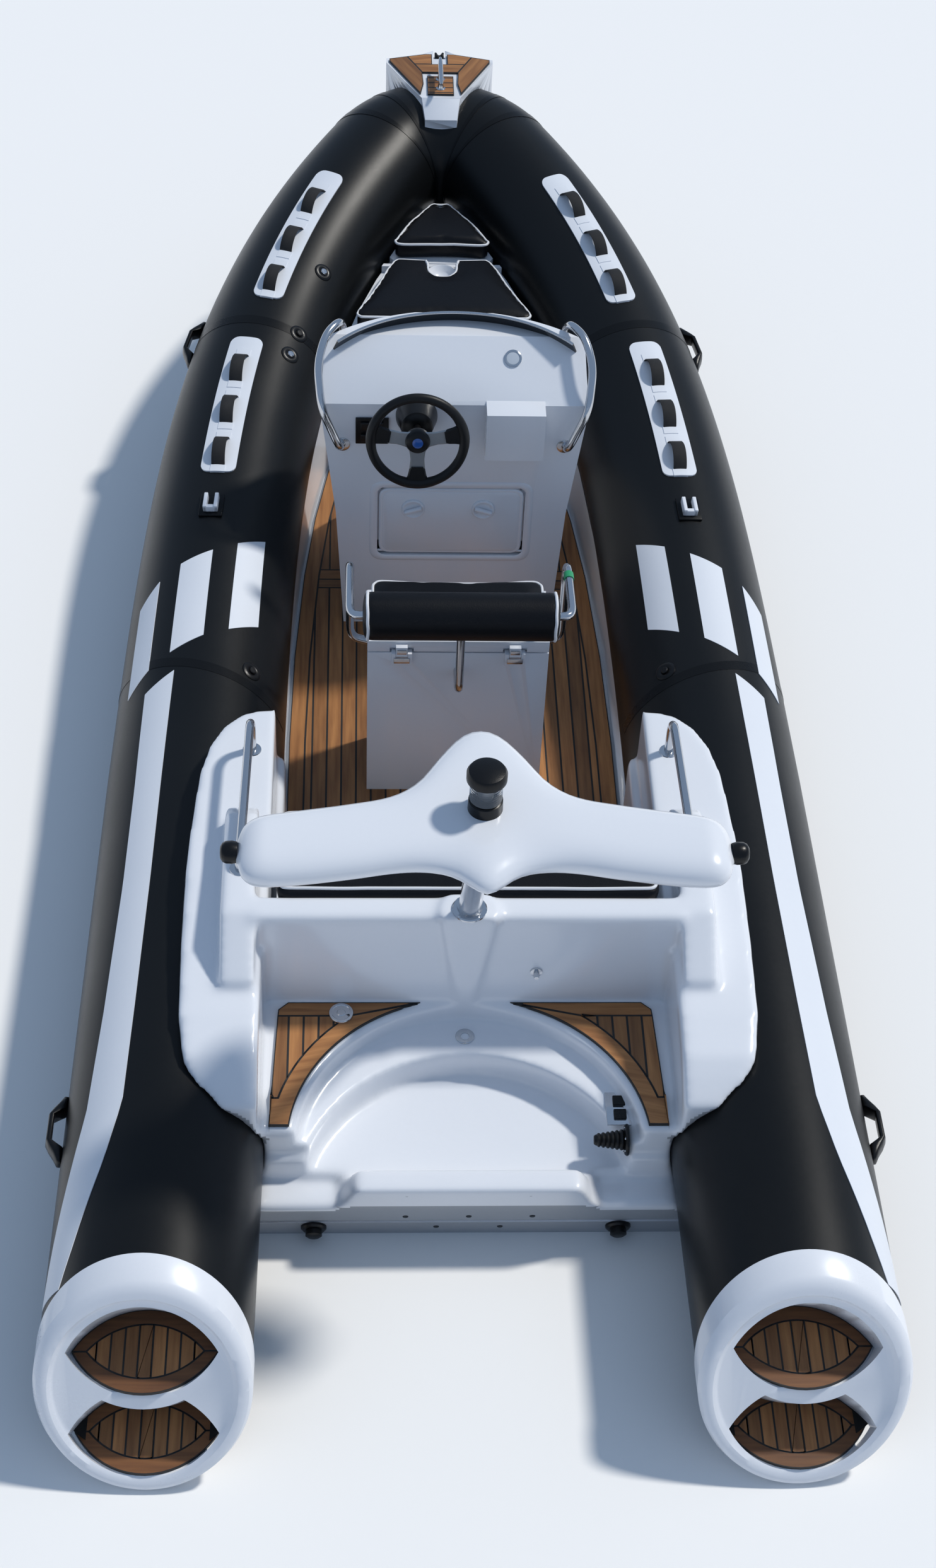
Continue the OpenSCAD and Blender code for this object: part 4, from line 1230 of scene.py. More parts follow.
    def forks(self) -> None:
        """The small white holders on the tubes, each on its black base."""
        for side in Side:
            along, out, up = self.path.frame(2.39)
            tilt = Matrix((out, along, up)).transposed()
            for name, size, lift, finish in (
                ("fork_base", (0.075, 0.095, 0.008), 0.003, SEAM),
                ("fork_left", (0.012, 0.062, 0.026), 0.018, PATCH),
                ("fork_right", (0.012, 0.062, 0.026), 0.018, PATCH),
                ("fork_foot", (0.046, 0.014, 0.022), 0.016, PATCH)
            ):
                obj = Shop.block(f"{name}_{side.word}", size, (0, 0, 0), round_by=0.0025)
                shift = {"fork_left": -0.017, "fork_right": 0.017}.get(name, 0.0)
                back = -0.024 if name == "fork_foot" else 0.0
                turn = Matrix.Rotation(math.radians(3.2), 3, "Y")
                spot = self.path.skin(2.39, 86.8, lift)
                for vertex in obj.data.vertices:
                    q = spot + tilt @ turn @ (vertex.co + Vector((shift, back, 0)))
                    vertex.co = (q.x * side.value, q.y, q.z)
                if side is Side.PORT:
                    obj.data.flip_normals()
                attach(finish.paint(Shop.settle(obj, 35.0)), "boat")


@dataclass
class EndCaps:
    """White tube ends with two stepped treads each."""

    path: TubePath
    proud: float = 0.005
    band: float = 0.090
    width: float = 0.3666
    depth: float = 0.20904
    lean: float = math.radians(30)
    drops: tuple[float, float] = (0.846, 0.046)
    backs: tuple[float, float] = (1.254, 0.869)
    edge: float = 0.028
    tread: float = 0.009
    border: float = 0.036
    gap: float = 0.004

    def build(self) -> None:
        """Build both caps."""
        for side in Side:
            self.cap(side)
            for step in (0, 1):
                level, gaps = self.floor(step), (self.gap, self.gap + self.border)
                outer, inner = (mirrored(self.lens(step, level, gap), side) for gap in gaps)
                half = len(outer) // 2
                rims = []
                for start in (0, half):
                    turn = [(start + k) % len(outer) for k in range(half + 1)]
                    rims.append([outer[k] for k in turn] + [inner[k] for k in reversed(turn)])
                boards = Boards(0.034, 0.0, 0.005, 0.0085, dark=True).fit(
                    f"tread_{side.word}_{step}", inner, rims, level + self.tread
                )
                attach(boards, "boat")
                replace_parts(boards, "cap_treads")

    def floor(self, step: int) -> float:
        """Height of a pocket's floor."""
        return self.path.z - self.drops[step] * self.path.r

    def lens(self, step: int, z: float, shrink: float = 0.0, n: int = 20) -> list[tuple[float, float]]:
        """A pocket's outline at a height.

        Args:
            step: 0 for the lower pocket, 1 for the upper.
            z: The height.
            shrink: How much smaller it is on every side.
            n: Steps along each arc.

        Returns:
            The outline on the starboard side.
        """
        w, d = self.width - 2 * shrink, self.depth - 2 * shrink
        big = (w * w / 4 + d * d / 4) / d
        half = math.asin(w / 2 / big)
        start = self.path.joint - self.backs[step] * self.path.r
        shift = -(z - self.floor(step)) * math.tan(self.lean)
        middle = self.path.x - self.path.toe * start
        out = []
        for sign in (-1, 1):
            for k in range(n):
                a = -half + 2 * half * k / n
                x, y = big * math.sin(a) * -sign, sign * (big * math.cos(a) - big + d / 2)
                out.append((middle + x, start + (self.depth / 2 + y) / math.cos(self.lean) + shift))
        return out

    def run(self, step: int, low: float, grow: float) -> bpy.types.Object:
        """The leaning run of a pocket.

        Args:
            step: 0 for the lower pocket, 1 for the upper.
            low: Where it starts.
            grow: How much larger it is on every side.

        Returns:
            The solid.
        """
        ends = (low, self.floor(step) + 0.5)
        rings = [[(x, y, z) for x, y in self.lens(step, z, -grow, 32)] for z in ends]
        return Shop.loft(f"pocket_{step}", rings)

    @staticmethod
    def carve(obj: bpy.types.Object, tool: bpy.types.Object) -> None:
        """Cut one solid with another, which goes.

        Args:
            obj: The solid to cut.
            tool: The cutting solid.
        """
        cut = obj.modifiers.new("cut", "BOOLEAN")
        cut.operation, cut.object, cut.solver = "DIFFERENCE", tool, "EXACT"
        Shop.apply(obj)
        bpy.data.objects.remove(tool)

    def cap(self, side: Side) -> None:
        """One cap: a banded plug with two pockets cut in.

        Args:
            side: The tube.
        """
        p = self.path
        angles = [360 * j / 96 for j in range(96)]
        rings = []
        for back, lift, flat in (
            (self.band - 0.012, -0.046, 0), (self.band - 0.009, -0.040, 0), (self.band, -0.030, 0),
            (self.band, -0.016, 0), (self.band - 0.005, -0.004, 0), (self.band - 0.018, self.proud, 0),
            (0.0, self.proud, 0), (0.0, -0.003, 0), (0.0, -0.003, 1)
        ):
            ring = []
            for a in angles:
                z = p.z + (p.r + lift) * math.sin(math.radians(a))
                y = -0.10 if flat else p.joint_y(z, back)
                ring.append(p.skin(y, a, lift))
            rings.append(ring)
        obj = Shop.loft(f"cap_{side.word}_white", rings)
        for step in (0, 1):
            tool = self.run(step, self.floor(step), 0.0)
            if step == 0:
                self.carve(tool, self.run(1, -0.2, self.edge))
            self.carve(obj, tool)
        Shop.settle(obj, 30.0)
        Shop.soften(obj, 0.007, 3, 32.0)
        if side is Side.PORT:
            for vertex in obj.data.vertices:
                vertex.co.x *= -1
            obj.data.flip_normals()
        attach(CAP_WHITE.paint(Shop.settle(obj, 35.0)), "boat")
        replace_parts(obj, f"cap_{side.word}")


@dataclass
class TubeTrim:
    """Pads with webbing handles, and the moulded carrying handles."""

    tubes: Tubes
    pads: Sequence[tuple[float, float, float, float]] = ((2.545, 3.170, 74, 100), (3.370, 3.990, 78, 103))
    strap: tuple[float, float, float, float] = (0.044, 0.004, 0.038, 0.070)
    handles: Sequence[float] = (0.150, 3.300)

    def build(self) -> None:
        """Build the trim on both tubes."""
        for side in Side:
            for index, pad in enumerate(self.pads):
                self.pad(index, pad, side)
            for index, y in enumerate(self.handles):
                self.handle(index, y, side)

    def pad(self, index: int, pad: tuple[float, float, float, float], side: Side) -> None:
        """A white pad with rounded corners and three straps.

        Args:
            index: The pad's number, from aft.
            pad: Its limits along and round the tube.
            side: The tube.
        """
        y0, y1, a0, a1 = pad
        rows = []
        for i in range(33):
            t = 0.5 - 0.5 * math.cos(math.pi * i / 32)
            end = min(t, 1 - t) * (y1 - y0)
            trim = 0.5 * (1 - math.sqrt(max(0.0, 1 - (1 - min(1.0, end / 0.03)) ** 2))) * 0.5
            rows.append([
                (y0 + (y1 - y0) * t, a0 + (a1 - a0) * (trim + (1 - 2 * trim) * j / 8)) for j in range(9)
            ])
        key = f"{side.word}_{('aft', 'fwd')[index]}"
        white = self.tubes.patch(f"pad_{key}", rows, side, PATCH, 0.0055)
        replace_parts(white, "strap_pads")
        wide, thin, rise, big = self.strap
        for k in range(3):
            y, a = y0 + (y1 - y0) * (0.14 + 0.31 * k), (a0 + a1) / 2
            along, out, up = self.tubes.path.frame(y)
            swing = math.radians(90 - a)
            top = (math.cos(swing) * up + math.sin(swing) * out).normalized()
            cross = along.cross(top).normalized()
            base = self.tubes.path.skin(y, a, 0.006)
            reach = math.acos((big - rise) / big)
            rings = []
            for i in range(25):
                t = -reach + 2 * reach * i / 24
                ring = []
                for s, d in ((-1, 0), (-0.9, 1), (0.9, 1), (1, 0), (0.9, -1), (-0.9, -1)):
                    r = big - thin / 2 + d * thin / 2
                    high = r * math.cos(t) + rise - big + 0.0003
                    q = base + along * (r * math.sin(t)) + top * high + cross * (s * wide / 2)
                    ring.append(Vector((q.x * side.value, q.y, q.z)))
                rings.append(ring)
            strap = Shop.loft(f"strap_{key}_{k}", rings, angle=50.0)
            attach(WEBBING.paint(strap), "boat")
            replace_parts(strap, f"straps_{key}")
            for end in (-1, 1):
                spot = y + end * (big * math.sin(reach) + 0.012)
                foot = [[(spot + d, a + s) for s in (-5.4, -2.7, 0, 2.7, 5.4)] for d in (-0.016, 0.0, 0.016)]
                self.tubes.patch(f"strap_tab_{key}_{k}_{end + 1}", foot, side, PATCH, 0.0075)

    def handle(self, index: int, y: float, side: Side) -> None:
        """A moulded handle on the tube's outer side.

        Args:
            index: Its number, from aft.
            y: Its place along the tube.
            side: The tube.
        """
        along, out, up = self.tubes.path.frame(y)
        swing = math.radians(8)
        top = math.cos(swing) * out + math.sin(swing) * up
        tall = along.cross(top) * -1
        base = self.tubes.path.skin(y, 8, 0.0)
        rows = [
            (-0.105, 0.004, 0.010), (-0.100, 0.012, 0.018), (-0.080, 0.022, 0.024), (-0.060, 0.036, 0.026),
            (-0.040, 0.045, 0.025)
        ]
        line = rows + [(-s, h, w) for s, h, w in reversed(rows)]
        rings = []
        for s, h, w in line:
            inner = 0.029 if abs(s) < 0.0525 else -0.002
            ring = []
            for k in range(16):
                t = math.tau * k / 16
                c, d = math.cos(t), math.sin(t)
                c, d = math.copysign(abs(c) ** 0.6, c), math.copysign(abs(d) ** 0.6, d)
                q = base + along * s + top * ((h + inner) / 2 + (h - inner) / 2 * c) + tall * (w * d)
                ring.append(Vector((q.x * side.value, q.y, q.z)))
            rings.append(ring)
        obj = Shop.loft(f"handle_{side.word}_{index}", rings, angle=45.0)
        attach(PLASTIC.paint(obj), "boat")
        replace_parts(obj, "carry_handles")


@dataclass(frozen=True)
class Upholstery:
    """Stuffed cushions with white piping.

    Attributes:
        voxel: Grid of the cloth.
        pressure: Pressure of the stuffing.
        frames: Steps of the cloth simulation.
        swell: Furthest a point may move.
        cord: Radius of the piping.
    """

    voxel: float = 0.012
    pressure: float = 4.0
    frames: int = 20
    swell: float = 0.012
    cord: float = 0.0045

    def stuff(self, nodes: str, name: str, body: str, fill: float = 0.8) -> bpy.types.Object:
        """A stuffed cover in a CAD node's place.

        Args:
            nodes: The node's name.
            name: The cushion's name.
            body: The body it rides on.
            fill: How full it is; not used.

        Returns:
            The cushion.
        """
        obj = Shop.moulded(nodes, name, self.voxel, 3)
        flat = [v.co.copy() for v in obj.data.vertices]
        floor = min(q.z for q in flat)
        self._inflate(obj)
        for vertex, start in zip(obj.data.vertices, flat):
            move = vertex.co - start
            if move.length > self.swell:
                move *= self.swell / move.length
            if start.z < floor + 0.012:
                move.z = 0.0
            vertex.co = start + move
        fine = obj.modifiers.new("fine", "SUBSURF")
        fine.levels = fine.render_levels = 1
        Shop.settle(Shop.apply(obj), 180.0)
        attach(VINYL.paint(obj), body)
        return obj

    def _inflate(self, obj: bpy.types.Object) -> None:
        """Blow the cover up a little as cloth.

        Args:
            obj: The cover.
        """
        scene = bpy.context.scene
        cloth = obj.modifiers.new("cloth", "CLOTH")
        cloth.settings.quality = 4
        cloth.settings.use_pressure = True
        cloth.settings.uniform_pressure_force = self.pressure
        cloth.settings.effector_weights.gravity = 0.0
        cloth.settings.tension_stiffness = cloth.settings.compression_stiffness = 25.0
        cloth.collision_settings.use_collision = False
        cloth.point_cache.frame_start, cloth.point_cache.frame_end = 1, self.frames
        for frame in range(1, self.frames + 1):
            scene.frame_set(frame)
        Shop.apply(obj)
        scene.frame_set(1)

    def pipe(
        self, cushion: bpy.types.Object, line: Sequence[Point], name: str, body: str, closed: bool = True
    ) -> None:
        """White piping on a cushion's seam.

        Args:
            cushion: The cushion.
            line: The seam's line, near its surface.
            name: The piping's name.
            body: The body it rides on.
            closed: Whether the seam is a ring.
        """
        spots = []
        for q in line:
            hit, at, normal, _ = cushion.closest_point_on_mesh(Vector(q))
            spots.append(at + normal * self.cord * 0.35 if hit else Vector(q))
        cord = Shop.pipe(name, spots, self.cord, closed, "AUTO", 2)
        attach(PIPING.paint(cord), body)

    @staticmethod
    def frame(outline: Sequence[tuple[float, float]], z: float, corner: float) -> list[Vector]:
        """A seam round an outline with rounded corners.

        Args:
            outline: Its corners in plan.
            z: Its height.
            corner: Length of the corners' rounding.

        Returns:
            Points close together along it.
        """
        ring = Shop.rounded([(x, y, z) for x, y in outline], corner, 6, True)
        dense: list[Vector] = []
        for a, b in zip(ring, ring[1:] + ring[:1]):
            steps = max(1, int((b - a).length / 0.04))
            dense += [a.lerp(b, k / steps) for k in range(steps)]
        return dense


def box_outline(x: float, y0: float, y1: float) -> list[tuple[float, float]]:
    """A rectangle about the centre plane."""
    return [(-x, y0), (x, y0), (x, y1), (-x, y1)]


@dataclass
class Hull:
    """Hull, cockpit sole and the stern moulding with its fittings."""

    upholstery: Upholstery
    sole: Sequence[tuple[float, float]] = (
        (0.510, 1.126), (0.510, 1.800), (0.501, 2.200), (0.477, 2.600), (0.445, 2.900), (0.404, 3.150),
        (0.375, 3.286)
    )
    deck: float = 0.370
    well: float = 0.452
    well_y: float = 0.070

    def build(self) -> None:
        """Build and dress the hull."""
        hull = Shop.copy("hull", "hull_shell")
        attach(self.two_tone(Shop.settle(hull, 30.0)), "boat")
        moulding = Shop.moulded("stern_moulding", "stern_shell", 0.0095, 14)
        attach(self.two_tone(moulding), "boat")
        outline = list(self.sole) + mirrored(reversed(self.sole))
        laid = Boards(0.046, 0.050, 0.006, 0.014).lay(
            "sole_boards", outline, 0.0905, bands=((2.538, 2.581), (2.581, 2.629))
        )
        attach(laid, "boat")
        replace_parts(laid, "cockpit_sole")
        self.corner_pads()
        self.bench()
        self.fittings()
        self.rails()

    @staticmethod
    def two_tone(obj: bpy.types.Object) -> bpy.types.Object:
        """White moulding with painted shade: its transom face, looking aft and down, is grey.

        Args:
            obj: The moulding.

        Returns:
            The same object.
        """
        GELCOAT.paint(obj)
        obj.data.materials.append(TRANSOM_SHADE.material())
        # Painted shade: faces near the transom that look aft and down take the grey.
        for face in obj.data.polygons:
            if face.normal.y < -0.8 and face.center.y < 0.12 and face.normal.z < -0.05:
                face.material_index = 1
        return obj

    def corner_pads(self) -> None:
        """Teak in the aft deck's corners, with the arc of the well cut out."""
        big, board, top, low = self.well + 0.018, 0.046, 0.526, 0.122

        def arc(radius: float, high: float) -> list[tuple[float, float]]:
            """Points of an arc round the well, from the aft edge up to a height.

            Args:
                radius: Its radius.
                high: The forward limit.

            Returns:
                The points.
            """
            a0, a1 = (math.asin((y - self.well_y) / radius) for y in (low, high))
            turns = [a0 + (a1 - a0) * k / 24 for k in range(25)]
            return [(radius * math.cos(a), self.well_y + radius * math.sin(a)) for a in turns]

        def side_edge(y: float) -> tuple[float, float]:
            """The pad's outer edge at a distance from the transom."""
            return 0.505 + (0.500 - y) * 0.04, y

        inner = [q for q in arc(big + board, top - board) if q[0] < side_edge(q[1])[0] - 0.016]
        curved = arc(big, top - 0.004) + inner[::-1] + [side_edge(inner[0][1]), side_edge(low)]
        cross = [
            inner[-1], side_edge(top - board), (0.504, 0.502), (0.478, top),
            (arc(big, top - 0.002)[-1][0], top)
        ]
        planked = inner + [side_edge(top - board), side_edge(inner[0][1])]
        for side in Side:
            field, *single = (mirrored(rows, side) for rows in (planked, curved, cross))
            boards = Boards(0.040, 0.0, 0.006, 0.008)
            laid = boards.fit(f"deck_pad_{side.word}", field, single, self.deck + 0.0085)
            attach(laid, "boat")
            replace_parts(laid, "stern_teak")

    def bench(self) -> None:
        """Seat and back cushions of the stern bench."""
        pads = self.upholstery.stuff("bench_cushions", "bench_pads", "boat")
        seat = self.upholstery.frame(box_outline(0.514, 0.718, 1.114), 0.500, 0.03)
        self.upholstery.pipe(pads, seat, "bench_piping", "boat")
        back = self.upholstery.frame(box_outline(0.502, 0.622, 0.700), 0.742, 0.03)
        self.upholstery.pipe(pads, back, "back_piping", "boat")

    def fittings(self) -> None:
        """Filler cap, drains, plug, boot, switch plate and wall fitting."""
        cap = Shop.turned(
            "filler_cap",
            [
                (0.0, 0.0075), (0.010, 0.0075), (0.012, 0.0055), (0.024, 0.0055), (0.026, 0.007),
                (0.032, 0.006), (0.034, 0.003), (0.034, 0.0), (0.0, 0.0)
            ],
            (-0.335, 0.487, self.deck + 0.008), UP
        )
        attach(STEEL.paint(cap), "boat")
        drain = Shop.turned(
            "well_drain",
            [
                (0.0, -0.004), (0.010, -0.004), (0.012, 0.003), (0.022, 0.004), (0.026, 0.002),
                (0.026, 0.0), (0.0, -0.006)
            ],
            (0, 0.466, 0.305), UP
        )
        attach(STEEL.paint(drain), "boat")
        tip = Shop.turned(
            "wall_fitting",
            [
                (0.0, 0.024), (0.006, 0.024), (0.008, 0.018), (0.008, 0.006), (0.016, 0.005), (0.017, 0.0),
                (0.0, 0.0)
            ],
            (0.186, 0.534, 0.500), AFT
        )
        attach(STEEL.paint(tip), "boat")
        for obj in (cap, drain, tip):
            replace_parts(obj, "deck_fittings")
        rows = [(0.0, 0.090), (0.011, 0.090), (0.014, 0.086)]
        for k in range(6):
            h = 0.082 - 0.012 * k
            rows += [
                (0.0150 + 0.0018 * k, h), (0.0185 + 0.0018 * k, h - 0.003),
                (0.0185 + 0.0018 * k, h - 0.007), (0.0155 + 0.0018 * k, h - 0.010)
            ]
        rows += [(0.030, 0.010), (0.038, 0.009), (0.042, 0.005), (0.042, 0.0), (0.0, 0.0)]
        boot = Shop.turned("cable_boot_rubber", rows, (0.420, 0.135, 0.290), (-1, 0, 0))
        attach(RUBBER.paint(boot), "boat")
        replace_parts(boot, "cable_boot")
        for k in range(6):
            a = math.tau * k / 6
            screw = Shop.turned(
                f"boot_screw_{k}",
                [(0.0, 0.003), (0.002, 0.0028), (0.0035, 0.001), (0.0035, 0.0), (0.0, 0.0)],
                (0.411, 0.135 + 0.034 * math.cos(a), 0.290 + 0.034 * math.sin(a)), (-1, 0, 0), 12
            )
            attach(STEEL.paint(screw), "boat")
        plate = Shop.block("switch_plate", (0.072, 0.105, 0.004), (0.402, 0.222, 0.3085), round_by=0.0018)
        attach(STEEL.paint(plate), "boat")
        for k, y in enumerate((0.200, 0.244)):
            rocker = Shop.block(f"switch_{k}", (0.034, 0.030, 0.012), (0.402, y, 0.313), (0.12, 0, 0), 0.003)
            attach(PLASTIC.paint(rocker), "boat")
        rake = math.radians(13)
        face = Vector((0, -math.cos(rake), -math.sin(rake)))
        for side in Side:
            at = Vector((0.405 * side.value, (0.180 - 0.050) * math.tan(rake), 0.050))
            rows = [
                (0.0, 0.030), (0.016, 0.030), (0.022, 0.026), (0.022, 0.012), (0.029, 0.011),
                (0.034, 0.006), (0.034, 0.0), (0.0, 0.0)
            ]
            flap = Shop.turned(f"scupper_{side.word}", rows, at, face)
            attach(PLASTIC.paint(flap), "boat")
            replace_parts(flap, "scuppers")
        plug = Shop.turned(
            "drain_plug",
            [(0.0, 0.020), (0.006, 0.020), (0.008, 0.012), (0.016, 0.010), (0.018, 0.0), (0.0, 0.0)],
            (0, 0.330 * math.tan(rake), -0.150), face
        )
        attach(STEEL.paint(plug), "boat")
        # Painted shade: flat black discs stand for the dark insides of the transom's holes.
        for index, (x, z) in enumerate((
            (-0.163, 0.118), (0.004, 0.118), (0.172, 0.118), (-0.08, 0.045), (0.09, 0.045)
        )):
            dot = Shop.turned(
                f"transom_hole_{index}",
                [(0.0, 0.001), (0.004, 0.0012), (0.007, 0.0012), (0.008, 0.0), (0.0, 0.0)],
                (x, (0.180 - z) * math.tan(rake), z), face, 16
            )
            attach(PLASTIC.paint(dot), "boat")

    def rails(self) -> None:
        """Grab rails on the coamings."""
        for side in Side:
            line = [
                (0.592, 1.246, 0.618), (0.592, 1.246, 0.752), (0.604, 0.704, 0.752), (0.604, 0.704, 0.718)
            ]
            rail = Shop.swept(f"stern_rail_{side.word}", mirrored(line, side), RAIL_R, 0.055)
            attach(STEEL.paint(rail), "boat")
            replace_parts(rail, "stern_rails")
            for k, (x, y, z) in enumerate((line[0], line[-1])):
                rose = Shop.turned(
                    f"rail_rose_{side.word}_{k}",
                    [(0.0, 0.004), (0.020, 0.004), (0.026, 0.002), (0.027, 0.0), (0.0, 0.0)],
                    (x * side.value, y, z + 0.002), UP, 28
                )
                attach(STEEL.paint(rose), "boat")


@dataclass
class Arch:
    """Light arch over the bench, on its post."""

    sections: Sequence[tuple[float, float, float]] = (
        (0.0, 6, 511), (28, 20, 504), (58, 46, 478), (96, 66, 424), (150, 76, 338), (212, 73, 290),
        (310, 55, 264), (440, 36, 240), (520, 34, 222), (552, 54, 198), (566, 96, 156),
    )
    low: float = 1.375
    thick: float = 0.092
    beacon: float = 0.224

    def build(self) -> None:
        """Build and dress the arch."""
        self.wing()
        self.post()
        self.light()
        for side in Side:
            self.side_light(side)

    def section(self, x: float) -> tuple[float, float]:
        """Fore and aft limits of the wing.

        Args:
            x: Distance from the centre plane.

        Returns:
            Its aft and forward edge.
        """
        rows = self.sections
        x = min(abs(x) * 1000, rows[-1][0])
        for i in range(len(rows) - 1):
            here, there = rows[i], rows[i + 1]
            x0, x1 = here[0], there[0]
            if x0 <= x <= x1:
                before, after = rows[max(0, i - 1)], rows[min(len(rows) - 1, i + 2)]
                t = (x - x0) / (x1 - x0)
                out = []
                for k in (1, 2):
                    m0 = (there[k] - before[k]) / max(1e-6, x1 - before[0]) * (x1 - x0) if i else 0.0
                    m1 = (after[k] - here[k]) / max(1e-6, after[0] - x0) * (x1 - x0)
                    h = t * t * (3 - 2 * t)
                    level = here[k] * (1 - h) + there[k] * h
                    out.append((level + m0 * t * (1 - t) ** 2 - m1 * t * t * (1 - t)) / 1000)
                return out[0], out[1]
        return rows[-1][1] / 1000, rows[-1][2] / 1000

    def wing(self) -> None:
        """The moulded wing, a loft of crowned sections."""
        tip = self.sections[-1][0] / 1000
        stations = [tip * math.sin(math.pi / 2 * k / 44) for k in range(-44, 45)]
        rings = []
        for x in stations:
            aft, fore = self.section(x)
            squeeze = math.sqrt(max(0.02, 1 - max(0.0, (abs(x) - 0.50) / 0.0665) ** 2))
            mid, half = (aft + fore) / 2, (fore - aft) / 2
            tall = self.thick / 2 * (0.72 + 0.28 * squeeze) * squeeze
            level = self.low + self.thick / 2
            ring = []
            for k in range(32):
                t = math.tau * k / 32
                c, s = math.cos(t), math.sin(t)
                c, s = math.copysign(abs(c) ** 0.72, c), math.copysign(abs(s) ** 0.86, s)
                ring.append((x, mid + half * c, level + tall * s))
            rings.append(ring)
        obj = Shop.loft("arch_wing", rings, angle=80.0)
        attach(GELCOAT.paint(obj), "boat")
        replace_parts(obj, "arch")

    def post(self) -> None:
        """The raked post with its flange."""
        foot, head = Vector((0, 0.552, 0.735)), Vector((0, 0.236, 1.385))
        tube = Shop.turned(
            "post_tube",
            [(0.0, 0.0), (0.030, 0.0), (0.030, (head - foot).length), (0.0, (head - foot).length)], foot,
            head - foot, 40
        )
        flange = Shop.turned(
            "post_flange",
            [
                (0.0, 0.0), (0.046, 0.0), (0.046, 0.005), (0.043, 0.008), (0.034, 0.009), (0.033, 0.018),
                (0.0, 0.018)
            ],
            (0, 0.552, 0.732), UP
        )
        for obj in (tube, flange):
            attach(STEEL.paint(obj), "boat")
            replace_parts(obj, "arch_post")
        for k in range(4):
            a = math.tau * (k + 0.5) / 4
            screw = Shop.turned(
                f"flange_screw_{k}",
                [(0.0, 0.003), (0.003, 0.0028), (0.0045, 0.001), (0.0045, 0.0), (0.0, 0.0)],
                (0.040 * math.cos(a), 0.552 + 0.040 * math.sin(a), 0.7395), UP, 14
            )
            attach(STEEL.paint(screw), "boat")

    def light(self) -> None:
        """The all round light: base, ribbed lens and cap."""
        at = (0, self.beacon, self.low + self.thick - 0.004)
        base = Shop.turned(
            "beacon_base", [(0.0, 0.036), (0.034, 0.036), (0.040, 0.032), (0.041, 0.0), (0.0, 0.0)], at, UP
        )
        rows = [(0.0, 0.034)]
        for k in range(8):
            h = 0.036 + 0.0075 * k
            rows += [(0.034, h), (0.038, h + 0.00375)]
        lens = Shop.turned("beacon_lens", rows + [(0.034, 0.097), (0.0, 0.099)], at, UP)
        cap = Shop.turned(
            "beacon_cap",
            [
                (0.0, 0.131), (0.030, 0.130), (0.042, 0.126), (0.047, 0.118), (0.047, 0.100),
                (0.044, 0.097), (0.0, 0.097)
            ],
            at, UP
        )
        core = Shop.turned(
            "beacon_core", [(0.0, 0.096), (0.010, 0.094), (0.013, 0.060), (0.012, 0.036), (0.0, 0.036)], at,
            UP, 20
        )
        for obj, finish in ((base, PLASTIC), (lens, LENS), (cap, PLASTIC), (core, SILVER)):
            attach(finish.paint(obj), "boat")
            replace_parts(obj, "beacon")

    def side_light(self, side: Side) -> None:
        """A side light on the wing's tip.

        Args:
            side: The tip.
        """
        rows = [
            (0.0, 0.040), (0.014, 0.039), (0.022, 0.034), (0.026, 0.026), (0.027, 0.012), (0.024, 0.0),
            (0.0, 0.0)
        ]
        obj = Shop.turned(
            f"side_light_{side.word}", rows,
            (0.566 * side.value - 0.002 * side.value, 0.126, self.low + 0.046), (side.value, 0, 0)
        )
        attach(PLASTIC.paint(obj), "boat")
        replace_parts(obj, "nav_lights")


